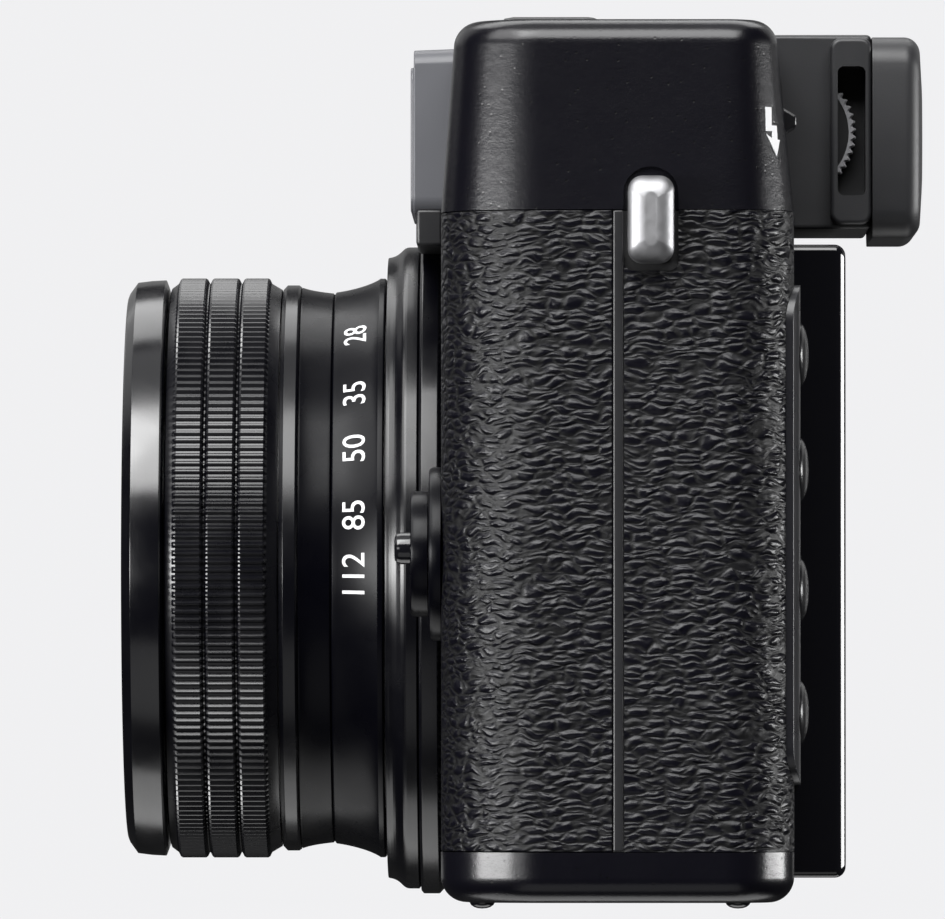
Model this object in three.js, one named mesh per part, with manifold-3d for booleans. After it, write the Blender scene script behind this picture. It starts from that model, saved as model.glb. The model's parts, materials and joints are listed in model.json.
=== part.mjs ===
// Compact rangefinder-style camera with a fixed zoom lens.
// Millimetres. +Z up, the lens points along -Y, +X is the photographer's left hand.
// The origin is on the ground, under the middle of the camera.

import * as THREE from 'three';
import { mergeVertices } from 'three/addons/utils/BufferGeometryUtils.js';
import Module from 'manifold-3d';

const wasm = await Module();
wasm.setup();

// ---------------------------------------------------------------- driving dimensions

const gap = 0.05;                 // between faces that rest on each other
const play = 0.2;                 // around a piece that slides or turns

const body = { halfWidth: 58.5, front: -6.2, rear: 21.5, frontRadius: 8, rearRadius: 5.5 };
const footHeight = 0.6;
const seamBottom = 4.55;          // bottom plate meets the leather
const seamTop = 54.7;             // leather meets the top plate
const plateTop = 69.75;
const skin = 0.6;                 // leather thickness
const wall = 1.6;                 // chassis wall

const lens = { x: 4.5, z: 27.36, front: 32.15 };      // front is measured forward from Y = 0
const lensSegments = 36;
const sleeve = { inner: 20.0, outer: 21.2, rear: -6 };

const seam = { front: 7.3, rear: 8.1 };               // upright seam rib on each side
const lug = { y: 10.24, z: 53.9, width: 3.6, height: 6.8, reach: 3.3 };

const finder = { left: 32.5, right: 3.0, bottom: 55.35, top: 68.7, front: -8.55, rear: -2.95 };
const eyepiece = { left: 34, right: 12, front: 19, rear: 28, bottom: 54.1, top: 69.6 };
const eyecup = { left: 36.4, right: 11.5, front: 28.05, rear: 32.15, bottom: 53.35, top: 69.4 };
const diopter = { y: 21.6, z: 61.8, radius: 5.2, left: 33.7, right: 31.7 };

const lcd = { left: 41.5, right: -18.6, rear: 25.8, bottom: 2.4, top: 52.6 };
const buttonPanel = { left: 55.6, right: 41.6, front: 18, rear: 22, bottom: 9.8, top: 49 };
const sideButtonHeights = [43.6, 34.55, 25.1, 15.5];
const controlPanel = { left: -18.75, right: -53, front: 19, rear: 22.4, bottom: 4.7, top: 54.6 };

const flash = { left: 52, right: 22, front: -1.7, top: 70.1, hingeY: 5.4, hingeZ: 68.6, hingeRadius: 1.5 };
const slider = { x: 50, width: 5.6, z: 61.9, height: 2, travel: 2 };
const shoe = { x: 4.5, front: 0.5, rear: 18.5, halfWidth: 10.6, floor: 68.75, top: 71.7 };
const modeDial = { x: -22, y: 10.3, radius: 8.5, top: 73.3 };
const shutter = { x: -38, y: 2.3, collar: 6, cap: 4.3, top: 73.2 };
const exposureDial = { x: -48.5, y: 12, radius: 7.5, top: 73.6 };
const fnButton = { x: -50.5, y: 0.5, radius: 2.2 };

const focusDial = { x: 45.5, z: 28, base: 6.85, cap: 4.95 };
const commandDial = { x: -44, y: 15.5, radius: 8, bottom: 46.5, top: 50.5 };
const subDial = { x: -36, z: 23, outer: 10, inner: 5.9 };

const door = { left: -21.2, right: -56.05, front: 1.4, rear: 15.8, hingeX: -54.9, hingeZ: 1.85, knuckle: 1.15 };
const tripod = { x: 4.5, y: 11.5, bore: 3.2, barrel: 4.6, flange: 5.2 };
const cover = { front: 9.5, rear: 15.7, bottom: 19, top: 41, hingeX: -57.75, knuckle: 0.65 };

// ---------------------------------------------------------------- materials

const paint = (name, color, roughness, metalness = 0) =>
  Object.assign(new THREE.MeshStandardMaterial({ color, roughness, metalness }), { name });

const blackPaint = () => paint('black satin paint', 0x17171a, 0.45, 0.3);
const blackMetal = () => paint('black anodised metal', 0x121214, 0.35, 0.6);
const blackPlastic = () => paint('black matte plastic', 0x1b1b1d, 0.6);
const greyPlastic = () => paint('dark grey plastic', 0x3a3a3e, 0.6);
const leatherette = () => paint('black leatherette', 0x141416, 0.55);
const glossBlack = () => paint('gloss black plastic', 0x0b0b0d, 0.15);
const chrome = () => paint('chrome', 0xd8d8dc, 0.12, 1);
const glass = () => paint('coated glass', 0x20242c, 0.05);
const circuit = () => paint('circuit board', 0x1d4d2c, 0.6);
const label = () => paint('grey label plastic', 0x6c6e72, 0.6);

// ---------------------------------------------------------------- solids

// Bases whose local Z (extrusion) or local Y (turning) runs along a model axis.
const axes = {
  x: new THREE.Matrix4().makeBasis(vec(0, 1, 0), vec(0, 0, 1), vec(1, 0, 0)),
  y: new THREE.Matrix4().makeBasis(vec(1, 0, 0), vec(0, 0, 1), vec(0, -1, 0)),
  z: new THREE.Matrix4(),
};
const turnedForward = new THREE.Matrix4().makeBasis(vec(1, 0, 0), vec(0, -1, 0), vec(0, 0, -1));
const turnedUp = new THREE.Matrix4().makeBasis(vec(1, 0, 0), vec(0, 0, 1), vec(0, -1, 0));
const turnedLeft = new THREE.Matrix4().makeBasis(vec(0, 1, 0), vec(1, 0, 0), vec(0, 0, -1));

function vec(x, y, z) {
  return new THREE.Vector3(x, y, z);
}

// Turns a closed three.js geometry into a solid whose faces point out.
function solid(geometry, matrix = axes.z) {
  const bare = new THREE.BufferGeometry();
  bare.setAttribute('position', geometry.getAttribute('position').clone());
  if (geometry.index) bare.setIndex(geometry.index.clone());
  bare.applyMatrix4(matrix);
  const merged = mergeVertices(bare, 1e-4);
  const points = new Float32Array(merged.getAttribute('position').array);
  const corners = merged.index.array;
  const triangles = [];
  let volume = 0;
  for (let i = 0; i < corners.length; i += 3) {
    const [a, b, c] = [corners[i], corners[i + 1], corners[i + 2]];
    if (a === b || b === c || c === a) continue;
    triangles.push([a, b, c]);
    const [p, q, r] = [a, b, c].map((n) => new THREE.Vector3().fromArray(points, 3 * n));
    volume += p.dot(q.cross(r));
  }
  if (volume < 0) triangles.forEach((triangle) => triangle.reverse());
  const triVerts = new Uint32Array(triangles.flat());
  return new wasm.Manifold(new wasm.Mesh({ numProp: 3, vertProperties: points, triVerts }));
}

function box(x0, x1, y0, y1, z0, z1) {
  const geometry = new THREE.BoxGeometry(x1 - x0, y1 - y0, z1 - z0);
  return solid(geometry.translate((x0 + x1) / 2, (y0 + y1) / 2, (z0 + z1) / 2));
}

// A flat outline pushed along an axis. Along x the outline is (y, z), along y it is (x, z).
function prism(shape, axis, from, to, curveSegments = 3) {
  const [start, depth] = axis === 'y' ? [-to, to - from] : [from, to - from];
  const geometry = new THREE.ExtrudeGeometry(shape, { depth, bevelEnabled: false, curveSegments });
  return solid(geometry.translate(0, 0, start), axes[axis]);
}

// A profile of [radius, height] points turned about its own axis.
function turned(profile, basis, segments) {
  const points = profile.map(([radius, height]) => new THREE.Vector2(radius, height));
  return solid(new THREE.LatheGeometry(points, segments), basis);
}

// A ring's profile closes on itself: the outside from the back to the front, then the bore.
function ring(outside, bore, basis, segments) {
  const first = outside[0];
  const last = outside[outside.length - 1];
  return turned([...outside, [bore, last[1]], [bore, first[1]], first], basis, segments);
}

function disc(radius, from, to, basis, segments, chamfer = 0) {
  const rim = chamfer > 0 ? [[radius, to - chamfer], [radius - chamfer, to]] : [[radius, to]];
  return turned([[0, from], [radius, from], ...rim, [0, to]], basis, segments);
}

function rounded(x0, x1, y0, y1, r) {
  return outline(x0, x1, y0, y1, r, r);
}

// A rectangle whose corners at y0 and y1 have their own radii.
function outline(x0, x1, y0, y1, r0, r1) {
  const shape = new THREE.Shape();
  const quarter = Math.PI / 2;
  shape.absarc(x0 + r0, y0 + r0, r0, 2 * quarter, 3 * quarter);
  shape.absarc(x1 - r0, y0 + r0, r0, 3 * quarter, 4 * quarter);
  shape.absarc(x1 - r1, y1 - r1, r1, 0, quarter);
  shape.absarc(x0 + r1, y1 - r1, r1, quarter, 2 * quarter);
  shape.closePath();
  return shape;
}

// The camera's plan, drawn in by different amounts at the sides, the front and the rear.
function plan(side, front = side, rear = side) {
  const half = body.halfWidth - side;
  return outline(-half, half, body.front + front, body.rear - rear,
    body.frontRadius - front, body.rearRadius - rear);
}

// Skins a stack of plans, from the bottom up, and closes both ends.
function lofted(levels, curveSegments = 3) {
  const rings = levels.map(({ z, shape }) =>
    shape.extractPoints(curveSegments).shape.slice(0, -1).map((p) => [p.x, p.y, z]));
  const count = rings[0].length;
  const positions = rings.flat(2);
  const triangles = [];
  for (let level = 0; level + 1 < rings.length; level++) {
    for (let i = 0; i < count; i++) {
      const a = level * count + i;
      const b = level * count + (i + 1) % count;
      triangles.push(a, b, b + count, a, b + count, a + count);
    }
  }
  const top = (rings.length - 1) * count;
  for (let i = 1; i + 1 < count; i++) triangles.push(0, i + 1, i, top, top + i, top + i + 1);
  const geometry = new THREE.BufferGeometry();
  geometry.setAttribute('position', new THREE.Float32BufferAttribute(positions, 3));
  geometry.setIndex(triangles);
  return solid(geometry);
}

const camera = new THREE.Group();

// Adds a named piece to a group, at the place its own origin has in that group.
function add(group, name, shape, material, place = [0, 0, 0]) {
  const { vertProperties, triVerts } = shape.getMesh();
  const geometry = new THREE.BufferGeometry();
  geometry.setAttribute('position', new THREE.BufferAttribute(new Float32Array(vertProperties), 3));
  geometry.setIndex(new THREE.BufferAttribute(new Uint32Array(triVerts), 1));
  geometry.computeVertexNormals();
  const mesh = new THREE.Mesh(geometry, material);
  mesh.name = name;
  mesh.position.set(...place);
  group.add(mesh);
}

function groupAt(x, y, z) {
  const group = new THREE.Group();
  group.position.set(x, y, z);
  camera.add(group);
  return group;
}

// A round hole or peg along Y, forward and back, in the camera's own frame.
function crossPeg(x, z, radius, from, to, segments = 24) {
  return prism(circle(x, z, radius), 'y', from, to, segments / 2);
}

function circle(x, y, radius) {
  const shape = new THREE.Shape();
  shape.absarc(x, y, radius, 0, 2 * Math.PI);
  return shape;
}

// ---------------------------------------------------------------- chassis

const batteryBay = box(-55, -22, 2.4, 14.8, 4, 7);

function chassis() {
  let shell = prism(plan(skin + gap), 'z', seamBottom + gap, seamTop - gap);
  shell = shell.subtract(prism(plan(skin + wall), 'z', seamBottom + wall, seamTop - wall));
  for (const side of [-1, 1]) {
    const [inner, outer] = [body.halfWidth - 1, body.halfWidth - gap].map((x) => side * x);
    const rib = box(Math.min(inner, outer), Math.max(inner, outer), seam.front, seam.rear,
      seamBottom + gap, seamTop - gap);
    shell = shell.add(rib);
  }
  const lensHole = crossPeg(lens.x, lens.z, sleeve.outer + 0.1, body.front, 0, lensSegments);
  const screenWindow = box(-16, 39, 19, 22, 8, 50);
  const panelWindow = box(controlPanel.right + 1, controlPanel.left - 1.3, 19, 22, 7, 52);
  const buttonWindow = box(buttonPanel.right - gap, buttonPanel.left + gap, buttonPanel.front - gap,
    22, buttonPanel.bottom - gap, buttonPanel.top + gap);
  const dialSlot = disc(commandDial.radius + 0.3, commandDial.bottom - 0.3, commandDial.top + 0.3,
    turnedUp, 32).translate([commandDial.x, commandDial.y, 0]);
  const socketHole = disc(tripod.barrel + gap, 4, 7.5, turnedUp, 24).translate([tripod.x, tripod.y, 0]);
  const coverRecess = box(-60, -57, cover.front - play, cover.rear + play, cover.bottom - play,
    cover.top + play);
  return [lensHole, screenWindow, panelWindow, buttonWindow, dialSlot, socketHole, coverRecess,
    batteryBay].reduce((whole, cut) => whole.subtract(cut), shell);
}

// ---------------------------------------------------------------- plates and leather

function bottomPlate() {
  const levels = [[footHeight, 1.8], [1.0, 0.95], [1.8, 0.3], [3.0, 0], [seamBottom, 0]];
  let plate = lofted(levels.map(([z, inset]) => ({ z, shape: plan(inset) })));
  plate = plate.subtract(box(door.right - 0.25, door.left + play, door.front - play,
    door.rear + play, 0, 5));
  plate = plate.subtract(disc(tripod.barrel + gap, 0, 5, turnedUp, 24)
    .translate([tripod.x, tripod.y, 0]));
  plate = plate.subtract(disc(tripod.flange + gap, 0, 1, turnedUp, 24)
    .translate([tripod.x, tripod.y, 0]));
  const foot = turned([[0, 0], [0.55, 0.08], [1, footHeight / 2], [1, 1], [0, 1]], turnedUp, 10);
  for (const x of [-44.5, 44.5]) {
    for (const y of [-3, 17.2]) plate = plate.add(foot.translate([x, y, 0]));
  }
  return plate;
}

function topPlate() {
  const levels = [[seamTop + gap, 0, 0], [67.4, 1.0, 1.3], [68.6, 1.5, 1.8], [69.35, 2.2, 2.5],
    [plateTop, 3.4, 3.7]];
  let plate = lofted(levels.map(([z, front, rear]) => ({ z, shape: plan(front, front, rear) })));
  const hollow = prism(plan(3.3, 3, 3.3), 'z', seamTop - 1, plateTop - 1.55);
  const tray = box(flash.right - 1.4, flash.left + 1.4, flash.front - 1.5, 8.3, 64.2, plateTop - 1);
  plate = plate.subtract(hollow.subtract(tray));
  const cuts = [
    // the well that the flash folds into
    box(flash.right - 0.3, flash.left + 0.3, flash.front - 0.3, 7.2, 65.2, 72),
    // the finder's front frame and the light path behind it
    box(finder.right - gap, finder.left + gap, -12, finder.rear + gap, finder.bottom - gap,
      finder.top + gap),
    // the eyepiece block, its light path and its diopter wheel
    box(eyepiece.right - gap, eyepiece.left + gap, eyepiece.front - gap, 24, 54, 72),
    box(15, 30, 17, 20, 57, 66),
    box(31.4, eyepiece.left + gap, 15, 20, 56.2, 67.4),
    // the hot shoe's pocket
    box(shoe.x - shoe.halfWidth - gap, shoe.x + shoe.halfWidth + gap, shoe.front - gap,
      shoe.rear + gap, shoe.floor - gap, 72),
    // the way into it for an accessory's foot, from behind
    box(shoe.x - shoe.halfWidth + 1.3, shoe.x + shoe.halfWidth - 1.3, shoe.rear, 23,
      shoe.floor + 0.5, 72),
    // the flash slider's slot
    box(slider.x - slider.width / 2 - play, slider.x + slider.width / 2 + play, 17, 23,
      slider.z - slider.height / 2 - slider.travel - play, slider.z + slider.height / 2 + play),
    // the function button's hole
    disc(fnButton.radius + play, 66, 72, turnedUp, 16).translate([fnButton.x, fnButton.y, 0]),
    lugArch(1), lugArch(-1),
  ];
  return cuts.reduce((whole, cut) => whole.subtract(cut), plate);
}

// The arched hollow around a strap lug, through the plate's and the leather's outer face.
function lugArch(side) {
  const half = lug.width / 2 + 0.35;
  const shape = rounded(lug.y - half, lug.y + half, lug.z - lug.height / 2 - 0.6,
    lug.z + lug.height / 2 + 0.9, 1.2);
  const depth = body.halfWidth - skin - gap;
  return side > 0 ? prism(shape, 'x', depth, 64) : prism(shape, 'x', -64, -depth);
}

function leatherBand() {
  const outside = prism(plan(0), 'z', seamBottom + gap, seamTop);
  return outside.subtract(prism(plan(skin), 'z', 0, 60));
}

function frontLeather() {
  const front = leatherBand().intersect(box(-60, 60, -20, seam.front - gap, 0, 60));
  return front.subtract(crossPeg(lens.x, lens.z, sleeve.outer + 0.1, -20, 0, lensSegments));
}

function rearLeather(side) {
  const reach = side > 0
    ? box(buttonPanel.right, 60, seam.rear + gap, 30, 0, 60)
    : box(-60, controlPanel.right - gap, seam.rear + gap, 30, 0, 60);
  const piece = leatherBand().intersect(reach).subtract(lugArch(side));
  const cut = side > 0
    ? box(40, buttonPanel.left + gap, buttonPanel.front - gap, 30, buttonPanel.bottom - gap,
      buttonPanel.top + gap)
    : box(-60, -56, cover.front - play, cover.rear + play, cover.bottom - play, cover.top + play);
  return piece.subtract(cut);
}

function grip() {
  const shape = new THREE.Shape();
  const back = body.front - gap;
  shape.moveTo(-50, back);
  shape.bezierCurveTo(-49, back - 2.2, -47, back - 3, -44, back - 3);
  shape.bezierCurveTo(-39, back - 3, -36, back - 1.2, -32.5, back);
  return prism(shape, 'z', 5.2, 54.2, 8);
}

// ---------------------------------------------------------------- viewfinder

function finderBezel() {
  const frame = rounded(finder.right, finder.left, finder.bottom, finder.top, 1.4);
  let bezel = prism(frame, 'y', finder.front, finder.rear);
  const rim = rounded(finder.right + 0.4, finder.left - 0.4, finder.bottom + 0.2, 67.1, 1.2);
  bezel = bezel.add(prism(rim, 'y', finder.front - 0.25, finder.front + 1));
  const brow = box(finder.right, finder.left, finder.front + 0.2, body.front - gap, 52.8,
    finder.bottom + 1);
  bezel = bezel.add(brow);
  bezel = bezel.subtract(crossPeg(lens.x, lens.z, 27, -20, 0, lensSegments));
  bezel = bezel.subtract(prism(rounded(15.5, 31, 57.6, 65.6, 1), 'y', -20, 0));
  return bezel.subtract(crossPeg(8.5, 61.6, 2.8, -20, -5));
}

function finderWindow() {
  return prism(rounded(15.55, 30.95, 57.65, 65.55, 1), 'y', -7.8, -6.8);
}

function eyepieceHousing() {
  const side = new THREE.Shape();
  const step = body.rear + 0.15;
  side.moveTo(eyepiece.front, seamTop + 2 * gap);
  side.lineTo(step, seamTop + 2 * gap);
  side.lineTo(step, eyepiece.bottom);
  side.lineTo(eyepiece.rear, eyepiece.bottom);
  side.lineTo(eyepiece.rear, eyepiece.top);
  side.lineTo(eyepiece.front, eyepiece.top);
  side.closePath();
  const boss = rounded(24.65, eyepiece.rear, eyepiece.bottom + 0.3, 68.6, 0.8);
  const well = circle(diopter.y, diopter.z, diopter.radius + 0.25);
  return prism(side, 'x', eyepiece.right, eyepiece.left)
    .add(prism(boss, 'x', eyepiece.left - 1, 35.9))
    .subtract(prism(well, 'x', diopter.right - play, diopter.left + play, 16))
    .subtract(box(diopter.right - play, 40, 25.3, 27.5, 56.7, 67))
    .subtract(box(15, 30, 10, 40, 57, 66.3));
}

function eyecupRing() {
  const side = outline(eyecup.front, eyecup.rear + 3, eyecup.bottom, eyecup.top, 1, 1);
  const block = prism(side, 'x', eyecup.right, eyecup.left);
  const back = rounded(eyecup.right, eyecup.left, eyecup.bottom, eyecup.top, 2.6);
  const roundedEdge = lofted([
    { z: eyecup.front, shape: back },
    { z: eyecup.rear - 1.6, shape: back },
    { z: eyecup.rear - 0.5, shape: rounded(eyecup.right + 0.5, eyecup.left - 0.5, eyecup.bottom + 0.5,
      eyecup.top - 0.5, 2.3) },
    { z: eyecup.rear, shape: rounded(eyecup.right + 1.6, eyecup.left - 1.6, eyecup.bottom + 1.6,
      eyecup.top - 1.6, 1.6) },
  ]);
  const upright = roundedEdge.rotate([90, 0, 0]).mirror([0, 1, 0]);
  const window = prism(rounded(14.5, 31.5, 56, 67, 1.2), 'y', 20, 40);
  return block.intersect(upright).subtract(window);
}

// ---------------------------------------------------------------- lens

// Profiles are [radius, distance forward of Y = 0].
const flangeOutside = [[26.3, 6.25], [26.3, 6.6], [26.67, 7.0], [26.67, 7.9], [26.25, 8.3],
  [26.27, 9.16], [25.68, 10.0], [25.39, 10.9]];
const scaleOutside = [[23.71, 11.05], [23.22, 12.4], [22.6, 14.9], [22.33, 15.3], [22.71, 16.9],
  [23.16, 18.2], [23.16, 19.0], [22.95, 19.5]];
const gripOutside = [[22.95, 19.6], [23.38, 20.2], [23.72, 21.0], [23.73, 27.6], [23.22, 28.7]];
const rimOutside = [[23.43, 28.85], [23.61, 29.24], [23.43, 30.9], [23.23, 31.3], [22.27, lens.front]];

function buildLens() {
  const group = groupAt(lens.x, 0, lens.z);
  const lensRing = (outside, bore) => ring(outside, bore, turnedForward, lensSegments);
  const tube = (outer, inner, rear, front) => lensRing([[outer, rear], [outer, front]], inner);
  const zoomBore = sleeve.outer + 0.4;

  add(group, 'lens_flange', lensRing(flangeOutside, sleeve.outer + 0.1), blackMetal());
  add(group, 'lens_sleeve', tube(sleeve.outer, sleeve.inner, sleeve.rear, 28.8), blackMetal());
  add(group, 'zoom_scale_ring', lensRing(scaleOutside, zoomBore), blackMetal());
  add(group, 'zoom_grip_ring', lensRing(gripOutside, zoomBore), blackMetal());
  add(group, 'front_rim_ring', lensRing(rimOutside, sleeve.inner), blackMetal());
  add(group, 'barrel_outer', tube(19.6, 18.6, 4, 31.2), blackMetal());
  add(group, 'barrel_inner', tube(18.2, 16.7, 6, 30.7), blackMetal());
  add(group, 'name_ring', lensRing([[16.6, 28.4], [16.6, 30.3], [12.6, 29.3]], 12.3), blackPlastic());

  const frontGlass = [[0, 26.6], [12.2, 26.6], [12.2, 28.6], [9, 29.5], [5, 30.1], [0, 30.3]];
  add(group, 'front_element', turned(frontGlass, turnedForward, lensSegments), glass());
  const cell = [[0, 8], [9, 8], [9, 11], [16.6, 11], [16.6, 13], [9, 13], [9, 16], [0, 16.6]];
  add(group, 'rear_lens_group', turned(cell, turnedForward, 32), glass());
}

// ---------------------------------------------------------------- controls

function dial(name, { x, y, radius, top }) {
  const from = plateTop + 0.1;
  add(groupAt(x, y, from), name, disc(radius, 0, top - from, turnedUp, 32, 0.4), blackMetal());
}

function hotShoe() {
  const { x, halfWidth, floor, top } = shoe;
  const profile = new THREE.Shape();
  const lip = halfWidth - 4.25;
  const inner = halfWidth - 1.3;
  const slotTop = top - 0.65;
  const half = [[halfWidth, floor], [halfWidth, top], [lip, top], [lip, slotTop], [inner, slotTop],
    [inner, floor + 0.5]];
  const left = half.map(([dx, z]) => new THREE.Vector2(x + dx, z));
  const right = half.map(([dx, z]) => new THREE.Vector2(x - dx, z)).reverse();
  profile.setFromPoints([...left, ...right]);
  const stop = box(x - inner, x + inner, shoe.front, shoe.front + 1, floor, slotTop + 0.2);
  return prism(profile, 'y', shoe.front, shoe.rear).add(stop);
}

function flashLid() {
  const { front, top, hingeY, hingeZ, hingeRadius } = flash;
  const shape = new THREE.Shape();
  shape.moveTo(front, hingeZ - hingeRadius);
  shape.lineTo(hingeY, hingeZ - hingeRadius);
  shape.absarc(hingeY, hingeZ, hingeRadius, -Math.PI / 2, Math.PI / 2);
  shape.lineTo(front + 0.6, top);
  shape.lineTo(front, top - 0.5);
  shape.closePath();
  return prism(shape, 'x', flash.right, flash.left, 10);
}

function strapLug(side) {
  const half = lug.height / 2;
  const base = body.halfWidth - skin;
  const reach = body.halfWidth + lug.reach - base;
  const loop = new THREE.Shape();
  loop.moveTo(0, -half);
  loop.bezierCurveTo(reach * 0.8, -half, reach, -half * 0.75, reach, -half * 0.45);
  loop.lineTo(reach, half * 0.45);
  loop.bezierCurveTo(reach, half * 0.75, reach * 0.8, half, 0, half);
  loop.closePath();
  loop.holes.push(rounded(0.9, reach - 1, -1.7, 1.7, 0.8));
  const solidLoop = prism(loop, 'y', -lug.width / 2, lug.width / 2);
  return side > 0 ? solidLoop : solidLoop.mirror([1, 0, 0]);
}

function focusMode() {
  const group = groupAt(focusDial.x, body.front, focusDial.z);
  const base = disc(focusDial.base, gap, 1, turnedForward, 32, 0.25);
  const lever = disc(focusDial.cap, 1.1, 2.2, turnedForward, 32, 0.25)
    .add(disc(1.25, 2, 3.7, turnedForward, 16, 0.3).translate([3.3, 0, 0.4]));
  add(group, 'focus_mode_base', base, blackMetal());
  add(group, 'focus_mode_dial', lever, blackMetal());
}

// ---------------------------------------------------------------- back

function lcdFrame() {
  const side = new THREE.Shape();
  const step = body.rear + gap;
  side.moveTo(20.9, seamBottom + 0.1);
  side.lineTo(step, seamBottom + 0.1);
  side.lineTo(step, lcd.bottom);
  side.lineTo(lcd.rear - 2, lcd.bottom);
  side.absarc(lcd.rear - 2, lcd.bottom + 2, 2, -Math.PI / 2, 0);
  side.lineTo(lcd.rear, lcd.top);
  side.lineTo(20.9, lcd.top);
  side.closePath();
  return prism(side, 'x', lcd.right, lcd.left).subtract(box(-14, 37, 24.9, 30, 6, 50));
}

function sideButtonPanel() {
  const { left, right, front, rear, bottom, top } = buttonPanel;
  const face = new THREE.Shape();
  const corner = 3;
  face.moveTo(right, bottom);
  face.absarc(left - corner, bottom + corner, corner, -Math.PI / 2, 0);
  face.absarc(left - corner, top - corner, corner, 0, Math.PI / 2);
  face.lineTo(right, top);
  face.closePath();
  const wells = sideButtonHeights.map((z) => box(44.3, 54.1, 20, 25, z - 2.7, z + 2.7));
  return wells.reduce((whole, cut) => whole.subtract(cut), prism(face, 'y', front, rear));
}

const roundButtons = [
  { name: 'ael_button', x: -28, z: 46.3, radius: 3 },
  { name: 'disp_button', x: -29, z: 9.8, radius: 2.8 },
  { name: 'raw_button', x: -43, z: 9.8, radius: 2.8 },
];

function thumbPanel() {
  const { left, right, front, rear, bottom, top } = controlPanel;
  const rest = new THREE.Shape();
  rest.moveTo(-51, rear - 0.5);
  rest.bezierCurveTo(-48, rear + 2.4, -44, rear + 2.4, -37, rear - 0.5);
  rest.closePath();
  const panel = box(right, left, 20.9, rear, bottom, top)
    .add(box(right + 1.1, left - 1.4, front + 0.1, 21, 7.1, 51.9))
    .add(prism(rest, 'z', 36, 44.5));
  const cuts = [
    crossPeg(subDial.x, subDial.z, subDial.outer + play, 20.8, 30, 32),
    ...roundButtons.map(({ x, z, radius }) => crossPeg(x, z, radius + play, 20.4, 30)),
    disc(commandDial.radius + 0.3, commandDial.bottom - 0.3, commandDial.top + 0.3, turnedUp, 32)
      .translate([commandDial.x, commandDial.y, 0]),
  ];
  return cuts.reduce((whole, cut) => whole.subtract(cut), panel);
}

function buildBack() {
  add(camera, 'lcd_frame', lcdFrame(), glossBlack());
  add(camera, 'lcd_glass', box(-13.95, 36.95, 24.95, 25.7, 6.05, 49.95), glass());
  add(camera, 'button_panel', sideButtonPanel(), blackPlastic());
  sideButtonHeights.forEach((z, index) => {
    const cap = prism(rounded(-4.7, 4.7, -2.5, 2.5, 0.8), 'y', -1.4, 0.7, 4);
    add(groupAt(49.2, buttonPanel.rear, z), `side_button_${index + 1}`, cap, blackPlastic());
  });
  add(camera, 'control_panel', thumbPanel(), blackPlastic());
  for (const { name, x, z, radius } of roundButtons) {
    const cap = prism(circle(0, 0, radius), 'y', -1.3, 0.6, 10);
    add(groupAt(x, controlPanel.rear, z), name, cap, blackPlastic());
  }
  const wheel = disc(commandDial.radius, 0, commandDial.top - commandDial.bottom, turnedUp, 32, 0.4);
  add(groupAt(commandDial.x, commandDial.y, commandDial.bottom), 'command_dial', wheel, blackMetal());

  const group = groupAt(subDial.x, controlPanel.rear, subDial.z);
  const dialRing = prism(circle(0, 0, subDial.outer), 'y', -1.4, 1, 16)
    .subtract(prism(circle(0, 0, subDial.inner), 'y', -2, 2, 16));
  add(group, 'sub_dial', dialRing, blackMetal());
  add(group, 'ok_button', prism(circle(0, 0, subDial.inner - play), 'y', -1, 1.2, 12), blackPlastic());
}

// ---------------------------------------------------------------- base

function batteryDoor() {
  const { left, hingeX, hingeZ, knuckle, front, rear } = door;
  const side = new THREE.Shape();
  const underside = hingeZ - knuckle;
  side.moveTo(left, underside);
  side.lineTo(left, 2.6);
  side.lineTo(hingeX + 1, 2.6);
  side.lineTo(hingeX, hingeZ + knuckle);
  side.absarc(hingeX, hingeZ, knuckle, Math.PI / 2, 3 * Math.PI / 2);
  side.closePath();
  return prism(side, 'y', front, rear, 8).subtract(box(-32.3, -25.7, 4.8, 12.2, 0, 1.7));
}

function tripodSocket() {
  const { bore, barrel, flange } = tripod;
  const cup = [[bore, 0], [flange, 0], [flange, 0.5], [barrel, 0.5], [barrel, 6.75], [0, 6.75],
    [0, 5.85], [bore, 5.85], [bore, 0]];
  return turned(cup, turnedUp, 24);
}

function terminalCover() {
  const { front, rear, bottom, top, hingeX, knuckle } = cover;
  const shape = new THREE.Shape();
  shape.moveTo(hingeX - knuckle, front + knuckle);
  shape.absarc(hingeX, front + knuckle, knuckle, Math.PI, 2 * Math.PI);
  shape.lineTo(hingeX + knuckle, rear);
  shape.lineTo(hingeX - knuckle, rear);
  shape.closePath();
  return prism(shape, 'z', bottom, top, 8);
}

// ---------------------------------------------------------------- assembly

add(camera, 'chassis', chassis(), blackMetal());
add(camera, 'bottom_plate', bottomPlate(), blackPaint());
add(camera, 'top_plate', topPlate(), blackPaint());
add(camera, 'leather_front', frontLeather(), leatherette());
add(camera, 'leather_rear_left', rearLeather(1), leatherette());
add(camera, 'leather_rear_right', rearLeather(-1), leatherette());
add(camera, 'grip', grip(), leatherette());

add(camera, 'finder_bezel', finderBezel(), greyPlastic());
add(camera, 'finder_window', finderWindow(), glass());
add(camera, 'af_lamp', crossPeg(8.5, 61.6, 2.7, -8.3, -5.1), glass());
add(camera, 'finder_zoom_lens', box(17, 30, 2, 4, 57.2, 63.9), glass());
add(camera, 'eyepiece_housing', eyepieceHousing(), greyPlastic());
add(camera, 'eyecup', eyecupRing(), greyPlastic());
add(camera, 'eyepiece_lens', box(15.1, 29.9, 26.5, 27.7, 57.1, 66.2), glass());
const wheelWidth = diopter.left - diopter.right;
add(groupAt(diopter.right, diopter.y, diopter.z), 'diopter_dial',
  disc(diopter.radius, 0, wheelWidth, turnedLeft, 32), greyPlastic());

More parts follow.
